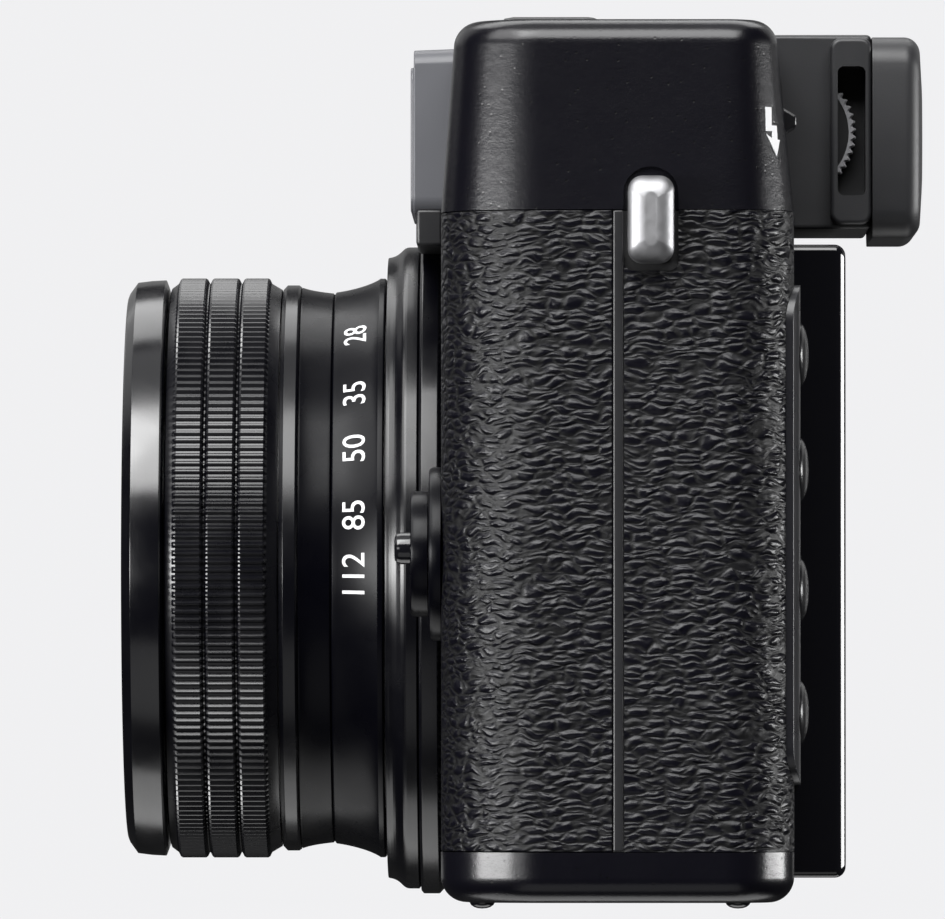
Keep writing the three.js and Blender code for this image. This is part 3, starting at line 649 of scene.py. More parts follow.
def eyepiece():
    house, cup, wheel = Span("eyepiece_housing"), Span("eyecup"), Span("diopter_dial")
    side = house.x1 - 1.9
    step = BASE.y1 + 0.12
    outline = fillet([(house.y0, TOP.z0 + 0.05, 0), (step, TOP.z0 + 0.05, 0), (step, house.z0, 0.9),
                      (house.y1, house.z0, 0.4), (house.y1, house.z1, 0.4), (house.y0, house.z1, 0)], 0)
    block = soften(extrude("eyepiece_block", outline, "x", house.x0, side), 0.5, 4, 50)
    boss_front = house.y1 - 3.3
    boss = rectangle(boss_front, house.y1, house.z0 + 0.3, house.z1 - 0.3, 0.9)
    boss = soften(extrude("boss", boss, "x", side - 1.5, house.x1), 0.35, 3, 50)
    block = join(block, boss)
    slot = rectangle(house.y1 - 2.72, house.y1 - 0.5, 56.7, 67.0, 0.5)
    well = circle(wheel.y, wheel.z, (wheel.y1 - wheel.y0) / 2 + 0.3, 64)
    block = carve(block, extrude("slot", slot, "x", wheel.x0 - 0.2, 40),
                  extrude("well", well, "x", wheel.x0 - 0.2, side - 0.25),
                  box(15, 30, 10, 40, 57, 66.3))
    settle(block, GREY, "camera", "eyepiece_housing", slot="grey_plastic")

    centre_x, centre_z = cup.x, cup.z
    bow, outer = 0.45, []
    corners = rectangle(cup.x0, cup.x1, cup.z0, cup.z1, 2.2, 8)
    for (u0, v0), (u1, v1) in zip(corners, corners[1:] + corners[:1]):
        pieces = max(1, round(math.hypot(u1 - u0, v1 - v0) / 0.8))
        outer += [(u0 + (u1 - u0) * k / pieces, v0 + (v1 - v0) * k / pieces) for k in range(pieces)]
    outer = [(u - math.copysign(bow, u - centre_x) * ((v - centre_z) / (cup.z1 - centre_z)) ** 2, v)
             if abs(u - centre_x) > (cup.x1 - centre_x) * 0.7 else (u, v) for u, v in outer]

    def drawn(inset):
        sx = 1 - inset / (cup.x1 - centre_x)
        sz = 1 - inset / (cup.z1 - centre_z)
        return [(centre_x + (u - centre_x) * sx, centre_z + (v - centre_z) * sz) for u, v in outer]

    rings = [(drawn(0.02), cup.y0), (drawn(0), cup.y0 + 0.06)]
    round_over = 1.3
    for k in range(11):
        turn = math.pi / 2 * k / 10
        rings.append((drawn(round_over * (1 - math.cos(turn))),
                      cup.y1 - 0.25 - round_over * (1 - math.sin(turn))))
    rings.append((drawn(round_over + 2.2), cup.y1 - 0.08))
    rings.append((drawn(round_over + 3.2), cup.y1))
    cup_body = loft("eyecup_rubber", rings, PLACES["y"])
    window = rectangle(14.5, 31.5, 56.0, 67.0, 1.2, 8)
    flare = rectangle(13.6, 32.6, 55.1, 67.6, 1.6, 8)
    mouth = [(window, cup.y0 - 1), (window, cup.y1 - 2.4), (flare, cup.y1 + 1)]
    cup_body = carve(cup_body, loft("mouth", mouth, PLACES["y"]))
    settle(cup_body, GREY, "camera", "eyecup", slot="grey_plastic")

    pane = Span("eyepiece_lens")
    sheet = extrude("eyepiece_pane", rectangle(pane.x0, pane.x1, pane.z0, pane.z1, 0.6), "y", pane.y0,
                    pane.y1)
    settle(soften(sheet, 0.15, 2), WINDOW_GLASS, "camera", "eyepiece_lens", slot="glass")

    radius = (wheel.y1 - wheel.y0) / 2
    core = radius - 0.5
    rim = [(core - 0.1, wheel.x0), (radius - 0.2, wheel.x0), (radius, wheel.x0 + 0.2),
           (radius, wheel.x1 - 0.2),
           (radius - 0.2, wheel.x1), (core - 0.1, wheel.x1)]
    gear = revolve("diopter_wheel_teeth", rim, PLACES["x"], (wheel.y, wheel.z), teeth=52, depth=0.26,
                   toothed=(wheel.x0 - 1, wheel.x1 + 1))
    settle(gear, WHEEL, "diopter_wheel", "diopter_dial", slot="grey_plastic", sharp=25)
    hub = [(0, wheel.x0 + 0.1), (core, wheel.x0 + 0.1), (core, wheel.x1 - 0.12), (0, wheel.x1 - 0.12)]
    settle(revolve("diopter_wheel_hub", hub, PLACES["x"], (wheel.y, wheel.z), 64), BLACK, "diopter_wheel",
           slot="black_plastic")


# ------------------------------------------------------------------ lens

def lens_ring(name, outside, bore, material, body, *nodes, edge=0.12, segments=192, slot="black_metal",
              **options):
    """A ring about the lens axis. The outside runs from the rear to the front as (radius, forward)."""
    profile = list(outside) + [(bore, outside[-1][1]), (bore, outside[0][1])]
    profile = fillet(profile, edge, 3)
    ring = revolve(name, profile, PLACES["lens"], segments=segments, **options)
    return settle(ring, material, body, *nodes, slot=slot, sharp=30)


def zoom_grip():
    """Three ribbed bands, with a narrow groove between each two."""
    grip = Span("zoom_grip_ring")
    rear, front = -grip.y1, -grip.y0
    crown, groove = (grip.x1 - grip.x0) / 2, 23.30
    bands = ((rear + 1.0, rear + 3.1), (rear + 3.5, rear + 5.7), (rear + 6.1, rear + 8.3))
    outside = [(22.8, rear), (23.28, rear + 0.82)]
    for low, high in bands:
        outside += [(groove, low - 0.16), (crown - 0.10, low), (crown, low + 0.14), (crown, high - 0.14),
                    (crown - 0.10, high), (groove, high + 0.16)]
    outside += [(22.9, front - 0.1), (22.6, front)]
    profile = outside + [(21.6, front), (21.6, rear)]
    ring = revolve("zoom_grip_knurl", profile, PLACES["lens"], teeth=220, depth=0.26,
                   toothed=(bands[0][0] - 0.01, bands[2][1] + 0.01))
    settle(ring, KNURLED, "zoom_ring", "zoom_grip_ring", slot="black_metal", sharp=20)


def lens():
    flange, scale, rim = Span("lens_flange"), Span("zoom_scale_ring"), Span("front_rim_ring")
    seat, step = -flange.y1, (flange.x1 - flange.x0) / 2
    lens_ring("flange_rear", [(step - 0.5, seat), (step, seat + 0.45), (step, seat + 1.75),
                              (step - 0.25, seat + 1.95)],
              21.3, FLANGE_METAL, "camera", edge=0.15)
    waist = bezier((26.27, seat + 2.95), (26.2, seat + 3.6), (25.55, seat + 3.5), (25.39, seat + 4.65), 10)
    lens_ring("flange_front", [(26.05, seat + 1.96), (26.27, seat + 2.12)] + waist, 21.3, FLANGE_METAL,
              "camera",
              "lens_flange", edge=0.06)

    low = -scale.y1
    rise = bezier((23.71, low + 0.5), (23.4, low + 0.9), (22.85, low + 2.2), (22.58, low + 4.1), 14)
    lens_ring("zoom_scale", [(23.6, low), (23.71, low + 0.12)] + rise + [(22.45, low + 4.2)], 21.6, SATIN,
              "zoom_ring", "zoom_scale_ring", edge=0.03)
    neck = bezier((22.50, low + 4.35), (22.60, low + 5.3), (22.72, low + 6.2), (22.98, low + 6.9), 12)
    lens_ring("zoom_neck", [(22.35, low + 4.22)] + neck, 21.6, SATIN, "zoom_ring", edge=0.05)
    lens_ring("zoom_neck_band", [(23.0, low + 6.95), (23.16, low + 7.15), (23.16, low + 8.1),
                                 (22.8, low + 8.44)],
              21.6, FLANGE_METAL, "zoom_ring", edge=0.05)
    zoom_grip()

    back, front = -rim.y1, -rim.y0
    lens_ring("front_rim", [(22.9, back), (23.58, back + 0.25), (23.52, back + 1.4), (23.38, back + 2.55),
                            (22.5, front - 0.12), (22.2, front), (20.9, front), (20.3, front - 0.9)],
              20.0, METAL, "camera", "front_rim_ring", edge=0.06)

    sleeve = Span("lens_sleeve")
    lens_ring("fixed_sleeve", [(21.2, -sleeve.y1), (21.2, -sleeve.y0)], 20.0, METAL_DARK, "camera",
              "lens_sleeve")
    for name, node, body in (("barrel_outer_tube", "barrel_outer", "outer_barrel"),
                             ("barrel_inner_tube", "barrel_inner", "inner_barrel")):
        tube = Span(node)
        radius = (tube.x1 - tube.x0) / 2
        bore = radius - (1.0 if node == "barrel_outer" else 1.5)
        lens_ring(name, [(radius, -tube.y1), (radius, -tube.y0 - 1.0), (radius - 0.12, -tube.y0 - 0.9),
                         (radius - 0.12, -tube.y0)], bore, METAL, body, node, edge=0.1)

    ring = Span("name_ring")
    back, front = -ring.y1, -ring.y0
    outer = (ring.x1 - ring.x0) / 2
    steps = [(outer, back), (outer, front)]
    for k in range(5):
        r = outer - 0.3 - 0.75 * k
        steps += [(r, front - 0.22 * k), (r - 0.1, front - 0.22 * k - 0.2)]
    steps += [(12.3, back + 0.6), (12.3, back)]
    baffle = revolve("retaining_ring", steps, PLACES["lens"], segments=160)
    settle(baffle, METAL_DARK, "inner_barrel", "name_ring", slot="black_plastic", sharp=20)

    dome = Span("front_element")
    back, front = -dome.y1, -dome.y0
    radius = (dome.x1 - dome.x0) / 2
    crown = [(radius * math.sin(t), front - 1.9 * (1 - math.cos(t)) / (1 - math.cos(1.0)))
             for t in [1.0 * k / 14 for k in range(14)]]
    crown = [(r / math.sin(1.0), h) for r, h in crown] + [(radius, front - 1.9)]
    element = revolve("front_lens", crown + [(radius, back), (0, back)], PLACES["lens"], segments=128)
    settle(element, FRONT_GLASS, "inner_barrel", "front_element", slot="glass", sharp=40)
    iris()

    group = Span("rear_lens_group")
    back, front = -group.y1, -group.y0
    cell = [(0, back), (9, back), (9, back + 3), (16.5, back + 3), (16.5, back + 5), (9, back + 5),
            (9, back + 8),
            (7.5, front - 0.25), (5, front - 0.1), (0, front)]
    settle(revolve("rear_lens_cell", cell, PLACES["lens"], segments=96), METAL_DARK, "inner_barrel",
           "rear_lens_group", slot="black_metal")


def iris():
    """Overlapping blades of the diaphragm behind the front glass."""
    blades, depth = 7, 25.4
    for k in range(blades):
        turn = TAU * k / blades
        arc = [(4.2, -9.0), (4.6, -3.0), (5.2, 2.5), (8.4, 8.6), (11.6, 4.8), (12.0, -2.5), (9.0, -8.0)]
        c, s = math.cos(turn), math.sin(turn)
        outline = fillet([(u * c - v * s, u * s + v * c) for u, v in arc], 1.2)
        low = depth - 0.11 * k
        blade = loft(f"iris_blade_{k + 1}", [(outline, low), (outline, low + 0.08)], PLACES["lens"])
        settle(blade, METAL_DARK, "inner_barrel", slot="black_metal")


def surface_text(name, text, size, angle, forward, radius_at, body, material):
    """Raised paint on the lens: reads round the barrel, with its top towards the front."""
    curve = bpy.data.curves.new(name, "FONT")
    curve.body = text
    curve.size = size
    curve.align_x = "CENTER"
    curve.align_y = "CENTER"
    curve.resolution_u = 4
    curve.offset = 0.005
    curve.extrude = 0.5
    obj = bpy.data.objects.new(name, curve)
    bpy.context.scene.collection.objects.link(obj)
    obj = bake_text(obj)
    for vertex in obj.data.vertices:
        u, v, w = vertex.co
        h = forward + v
        r = radius_at(h) + (0.035 if w > 0 else -0.05)
        turn = angle - u / radius_at(forward)
        x, y, z = PLACES["lens"](r * math.sin(turn), r * math.cos(turn), h)
        vertex.co = (x * MM, y * MM, z * MM)
    return settle(obj, material, body, slot="label")


def bake_text(obj):
    """Turns a text object into a closed mesh object of the same name."""
    bpy.context.view_layer.update()
    mesh = bpy.data.meshes.new_from_object(obj.evaluated_get(bpy.context.evaluated_depsgraph_get()))
    solid = bmesh.new()
    solid.from_mesh(mesh)
    bmesh.ops.remove_doubles(solid, verts=solid.verts, dist=1e-4)
    edges = [e for e in solid.edges if e.calc_length() > 0.25]
    bmesh.ops.subdivide_edges(solid, edges=edges, cuts=2)
    bmesh.ops.triangulate(solid, faces=solid.faces)
    bmesh.ops.recalc_face_normals(solid, faces=solid.faces)
    solid.to_mesh(mesh)
    solid.free()
    name, curve = obj.name, obj.data
    flat = bpy.data.objects.new(name + "_mesh", mesh)
    bpy.context.scene.collection.objects.link(flat)
    bpy.data.objects.remove(obj)
    bpy.data.curves.remove(curve)
    flat.name = name
    return flat


def flat_icon(name, strokes, thickness, place, body, material):
    """A printed sign made of closed outlines, each set a hair above its surface by place(u, v, w)."""
    vertices, faces = [], []
    for outline in strokes:
        start, count = len(vertices), len(outline)
        vertices += [place(u, v, thickness) for u, v in outline] + [place(u, v, -0.05) for u, v in outline]
        faces.append(tuple(range(start, start + count)))
        faces.append(tuple(range(start + count, start + 2 * count)))
        for i in range(count):
            j = (i + 1) % count
            faces.append((start + i, start + j, start + count + j, start + count + i))
    return settle(new_object(name, vertices, faces), material, body, slot="label")


def lens_numbers():
    scale = Span("zoom_scale_ring")
    low = -scale.y1
    slope = bezier((23.71, low + 0.5), (23.4, low + 0.9), (22.85, low + 2.2), (22.58, low + 4.1), 14)

    def radius_at(h):
        for (r0, h0), (r1, h1) in zip(slope, slope[1:]):
            if h <= h1:
                return r0 + (r1 - r0) * (h - h0) / (h1 - h0)
        return slope[-1][0]

    for text, degrees in (("28", 35.4), ("35", 52.8), ("50", 65.9), ("85", 79.9), ("112", 92.3)):
        surface_text(f"zoom_mark_{text}", text, 2.6, math.radians(degrees), low + 2.3, radius_at,
                     "zoom_ring", WHITE)
    flange_front = FLANGE.y1 - 3.0
    radius = 26.3

    def on_flange(u, v, w):
        r = radius + w
        return PLACES["lens"](r * math.sin(-u / radius), r * math.cos(-u / radius), v - flange_front)

    mark = rectangle(-0.22, 0.22, -0.55, 0.35)
    flat_icon("zoom_index", [mark], 0.02, on_flange, "camera", WHITE)


# ------------------------------------------------------------------ dials and small controls

def ribbed_dial(name, node, centre, radius, low, high, body, place, teeth, depth, dish=0.5, material=METAL,
                chamfer=0.35, slot="black_metal", plain=0.0):
    """A turned dial with ribs round its side, a chamfered crown and a sunk top."""
    height = high - low
    ribs_low, ribs_high = low + plain, high - chamfer - 0.12
    profile = [(0, low), (radius - 0.2, low), (radius, low + 0.15), (radius, ribs_low + 0.01),
               (radius, ribs_high),
               (radius - 0.05, high - chamfer), (radius - chamfer, high), (radius - chamfer - 0.5, high),
               (radius - chamfer - 0.5 - 0.6 * dish, high - 0.22 * min(dish, height)),
               (0, high - 0.22 * dish)]
    dial = revolve(name, profile, place, centre, teeth=teeth, depth=depth,
                   toothed=(ribs_low, ribs_high + 0.02))
    return settle(dial, material, body, node, slot=slot, sharp=25)


def top_letters(name, text, size, x, y, z, body, turn=0.0):
    """Printed characters lying flat on top, read from behind the camera."""
    curve = bpy.data.curves.new(name, "FONT")
    curve.body = text
    curve.size = size
    curve.align_x = "CENTER"
    curve.align_y = "CENTER"
    curve.resolution_u = 3
    curve.extrude = 0.5
    obj = bpy.data.objects.new(name, curve)
    bpy.context.scene.collection.objects.link(obj)
    obj = bake_text(obj)
    c, s = math.cos(turn), math.sin(turn)
    for vertex in obj.data.vertices:
        u, v, w = vertex.co
        u, v = -u, -v
        vertex.co = ((x + u * c - v * s) * MM, (y + u * s + v * c) * MM,
                     (z + (0.02 if w > 0 else -0.04)) * MM)
    return settle(obj, WHITE, body, slot="label")


def top_controls():
    mode = Span("mode_dial")
    centre, radius = (mode.x, mode.y), (mode.x1 - mode.x0) / 2
    ribbed_dial("mode_dial_cap", "mode_dial", centre, radius, mode.z0, mode.z1, "mode_selector", PLACES["z"],
                64, 0.22, plain=0.5)
    signs = ("P", "A", "S", "M", "1", "2", "3", "T")
    for k, sign in enumerate(signs):
        turn = TAU * k / len(signs)
        top_letters(f"mode_sign_{sign}", sign, 2.1, centre[0] + 5.1 * math.sin(turn),
                    centre[1] - 5.1 * math.cos(turn),
                    mode.z1 - 0.11, "mode_selector", turn)

    bias = Span("exposure_dial")
    centre, radius = (bias.x, bias.y), (bias.x1 - bias.x0) / 2
    ribbed_dial("exposure_dial_cap", "exposure_dial", centre, radius, bias.z0, bias.z1, "exposure_selector",
                PLACES["z"], 56, 0.22, plain=0.5)
    for k, sign in enumerate(("-3", "-2", "-1", "0", "1", "2", "3")):
        turn = math.radians(36) * (k - 3)
        top_letters(f"exposure_sign_{k}", sign, 1.75, centre[0] + 4.6 * math.sin(turn),
                    centre[1] - 4.6 * math.cos(turn), bias.z1 - 0.11, "exposure_selector", turn)

    collar, cap = Span("shutter_collar"), Span("shutter_button")
    centre = (collar.x, collar.y)
    outer, bore = (collar.x1 - collar.x0) / 2, (cap.x1 - cap.x0) / 2 + 0.2
    ring = [(bore, collar.z0), (outer, collar.z0), (outer, collar.z1 - 0.5), (outer - 0.18, collar.z1 - 0.15),
            (outer - 0.5, collar.z1), (bore + 0.25, collar.z1), (bore, collar.z1 - 0.25)]
    settle(revolve("shutter_ring", ring, PLACES["z"], centre, 96), METAL, "camera", "shutter_collar",
           slot="black_metal", sharp=28)
    r, z0, z1 = bore - 0.2, cap.z0, cap.z1
    crown = [(0, z0), (r, z0), (r, z1 - 0.55), (r - 0.12, z1 - 0.25), (r - 0.45, z1), (2.2, z1 - 0.22),
             (1.5, z1 - 0.26), (1.42, z1 - 0.5), (1.22, z1 - 0.62), (1.38, z1 - 0.74), (1.18, z1 - 0.86),
             (1.34, z1 - 0.98), (1.1, z1 - 1.2), (0, z1 - 1.3)]
    settle(revolve("shutter_cap", crown, PLACES["z"], centre, 96), CHROME, "shutter_release",
           "shutter_button",
           slot="chrome", sharp=28)

    fn = Span("fn_button")
    r, z0, z1 = (fn.x1 - fn.x0) / 2, fn.z0, fn.z1
    key = [(0, z0), (r, z0), (r, z1 - 0.3), (r - 0.1, z1 - 0.1), (r - 0.35, z1), (0, z1 - 0.12)]
    settle(revolve("fn_cap", key, PLACES["z"], (fn.x, fn.y), 64), METAL, "function_button", "fn_button",
           slot="black_metal", sharp=28)
    top_letters("fn_sign", "Fn", 1.5, fn.x, fn.y + 3.1, TOP.z1, "camera")
    for k, text in enumerate(("ON", "OFF")):
        top_letters(f"switch_sign_{k}", text, 1.35, collar.x + (4.2 if k else -4.2), collar.y - 6.0, TOP.z1,
                    "camera")

    shoe = Span("hot_shoe")
    floor = TOP.z1 - 0.5
    base = box(shoe.x0, shoe.x1, shoe.y0, shoe.y1, shoe.z0, shoe.z1)
    channel = box(shoe.x - 9.3, shoe.x + 9.3, shoe.y0 + 1.0, shoe.y1 + 1, floor, floor + 1.9)
    mouth = box(shoe.x - 6.3, shoe.x + 6.3, shoe.y0 - 1, shoe.y1 + 1, floor, 80)
    base = soften(carve(base, channel, mouth), 0.18, 2, 50)
    settle(base, SATIN_CHROME, "camera", "hot_shoe", slot="chrome")
    plate = extrude("shoe_insulator", rectangle(shoe.x - 6.2, shoe.x + 6.2, shoe.y0 + 2.0, shoe.y1 - 0.8,
                                                1.0), "z",
                    floor - 0.1, floor + 0.12)
    settle(soften(plate, 0.05, 2), BLACK, "camera", slot="black_plastic")
    for k, (dx, dy, r) in enumerate(((0, 9.5, 1.5), (-3.1, 5.6, 0.8), (3.1, 5.6, 0.8), (0, 4.9, 0.8))):
        pin = [(0, floor), (r, floor), (r, floor + 0.2), (r - 0.12, floor + 0.28), (0, floor + 0.32)]
        settle(revolve(f"shoe_contact_{k + 1}", pin, PLACES["z"], (shoe.x + dx, shoe.y0 + dy), 32), CHROME,
               "camera",
               slot="chrome")


def flash():
    lid, window, slider = Span("flash_lid"), Span("flash_window"), Span("flash_slider")
    hinge_y, hinge_z, hinge_r = lid.y1 - 1.5, lid.z1 - 1.5, 1.5
    side = [(lid.y0, lid.z0 + 0.2, 0.2), (hinge_y - 1.6, lid.z0 + 0.2, 0)]
    side += [(hinge_y + hinge_r * math.cos(a), hinge_z + hinge_r * math.sin(a), 0)
             for a in [math.radians(-120 + 210 * k / 14) for k in range(15)]]
    side += [(lid.y0 + 1.2, lid.z1, 0), (lid.y0 + 0.5, lid.z1 - 0.12, 0), (lid.y0, lid.z1 - 0.7, 0)]
    body = extrude("flash_cover", fillet(side, 0, 3), "x", lid.x0, lid.x1)
    body = soften(body, 0.3, 3, 40)
    pocket = box(window.x0 - 0.05, window.x1 + 0.05, window.y0 - 0.05, window.y1 + 0.05, window.z0 - 1,
                 window.z1 + 0.05)
    settle(carve(body, pocket), BLACK, "flash", "flash_lid", slot="black_plastic")
    pane = soften(box(window.x0, window.x1, window.y0, window.y1, window.z0, window.z1), 0.12, 2)
    pane.name = "flash_diffuser"
    settle(pane, DIFFUSER, "flash", "flash_window", slot="glass")

    outline = fillet([(slider.y0, slider.z0, 0), (slider.y1 - 1.0, slider.z0, 0.3),
                      (slider.y1, slider.z - 0.4, 0.25),
                      (slider.y1, slider.z + 0.4, 0.25), (slider.y1 - 1.0, slider.z1, 0.3),
                      (slider.y0, slider.z1, 0)],
                     0, 4)
    knob = soften(extrude("flash_slider_knob", outline, "x", slider.x0, slider.x1), 0.2, 3, 50)
    ribs = [box(x - 0.15, x + 0.15, slider.y1 - 0.3, slider.y1 + 2, slider.z0 - 1, slider.z1 + 1)
            for x in (slider.x - 1.6, slider.x - 0.8, slider.x, slider.x + 0.8, slider.x + 1.6)]
    settle(carve(knob, *ribs), KEYCAP, "flash_release", "flash_slider", slot="black_plastic")


def flash_sign():
    """The flash arrow printed on the rear left corner of the top cover."""
    level = 60.9
    inset = 1.3 * (level - TOP.z0) / (TOP.z1 - FILLET - TOP.z0)
    r = CORNER_REAR - inset
    cx, cy = BASE.x1 - inset * 1.0 / 1.3 - r, BASE.y1 - CORNER_REAR
    bolt = [(-0.72, 1.92), (0.0, 1.92), (-0.16, 0.48), (0.52, 0.48), (0.46, -0.62), (0.80, -0.62),
            (0.18, -1.92),
            (-0.80, -0.20), (-0.18, -0.58), (-0.12, 0.04), (-0.80, 0.04)]

    def on_corner(u, v, w):
        z = level + v
        shrink = (z - TOP.z0) / (TOP.z1 - FILLET - TOP.z0)
        radius = CORNER_REAR - 1.3 * shrink + w
        turn = math.radians(51) + u / r
        return (cx + radius * math.cos(turn), cy + radius * math.sin(turn), z)

    fine = []
    for i, (u, v) in enumerate(bolt):
        nu, nv = bolt[(i + 1) % len(bolt)]
        fine += [(u + (nu - u) * k / 4, v + (nv - v) * k / 4) for k in range(4)]
    flat_icon("flash_arrow_sign", [fine], 0.06, on_corner, "camera", WHITE)


def strap_lugs():
    """Chrome loops with a domed outer end and an eye through from front to rear."""
    dome, depth, bow = 1.4, 1.0, 0.40
    for node, sign in (("strap_lug_left", 1), ("strap_lug_right", -1)):
        lug = Span(node)
        tall = (lug.z1 - lug.z0) / 2
        inner, outer = min(abs(lug.x0), abs(lug.x1)), max(abs(lug.x0), abs(lug.x1))

        def drawn(inset):
            corner = 1.15 - 0.5 * inset
            return rectangle(lug.y0 + inset, lug.y1 - inset, lug.z0 + inset, lug.z1 - inset, corner, 8)

        def bowed(u, v, h):
            share = (h - inner) / (outer - inner)
            return (sign * (h - bow * share * ((v - lug.z) / tall) ** 2), u, v)

        rings = [(drawn(0.0), inner), (drawn(0.0), outer - depth)]
        for k in range(1, 13):
            turn = math.pi / 2 * k / 12
            rings.append((drawn(dome * (1 - math.cos(turn))), outer - depth + depth * math.sin(turn)))
        body = loft(f"{node}_loop", rings, bowed)
        eye = [(u, lug.z + 2.1 * (v - lug.z)) for u, v in circle(sign * (outer - 1.9), lug.z, 0.8, 32)]
        body = carve(body, extrude("eye", eye, "y", lug.y0 - 1, lug.y1 + 1))
        settle(body, SATIN_CHROME, "camera", node, slot="chrome", sharp=50)


def focus_selector():
    base, dial = Span("focus_mode_base"), Span("focus_mode_dial")
    outer = (base.x1 - base.x0) / 2
    seat, face = -base.y1, -base.y0

    def at(u, v, h):
        return (base.x + u, -h, base.z + v)

    r = (dial.x1 - dial.x0) / 2
    ring = [(0, seat), (outer, seat), (outer, face - 0.35), (outer - 0.12, face - 0.1), (outer - 0.35, face),
            (r + 0.45, face), (r + 0.3, face - 0.2), (0, face - 0.2)]
    settle(revolve("focus_base_ring", ring, at, segments=128), SATIN, "camera", "focus_mode_base",
           slot="black_metal", sharp=28)
    low, high = -dial.y1, -dial.y0
    pin_top, plate = high, low + 1.35
    disc = [(0, low), (r, low), (r, plate - 0.3), (r - 0.1, plate - 0.08), (r - 0.3, plate), (0, plate)]
    settle(revolve("focus_dial_disc", disc, at, teeth=48, depth=0.16, toothed=(low + 0.1, plate - 0.31)),
           SATIN, "focus_selector", "focus_mode_dial", slot="black_metal", sharp=25)
    pin = [(0, plate - 0.2), (1.25, plate - 0.2), (1.25, pin_top - 0.5), (1.18, pin_top - 0.22),
           (0.95, pin_top - 0.05),
           (0.7, pin_top), (0, pin_top)]
    settle(revolve("focus_dial_pin", pin, at, (3.3, 0.4), 64), GLOSS, "focus_selector", slot="black_metal",
           sharp=28)


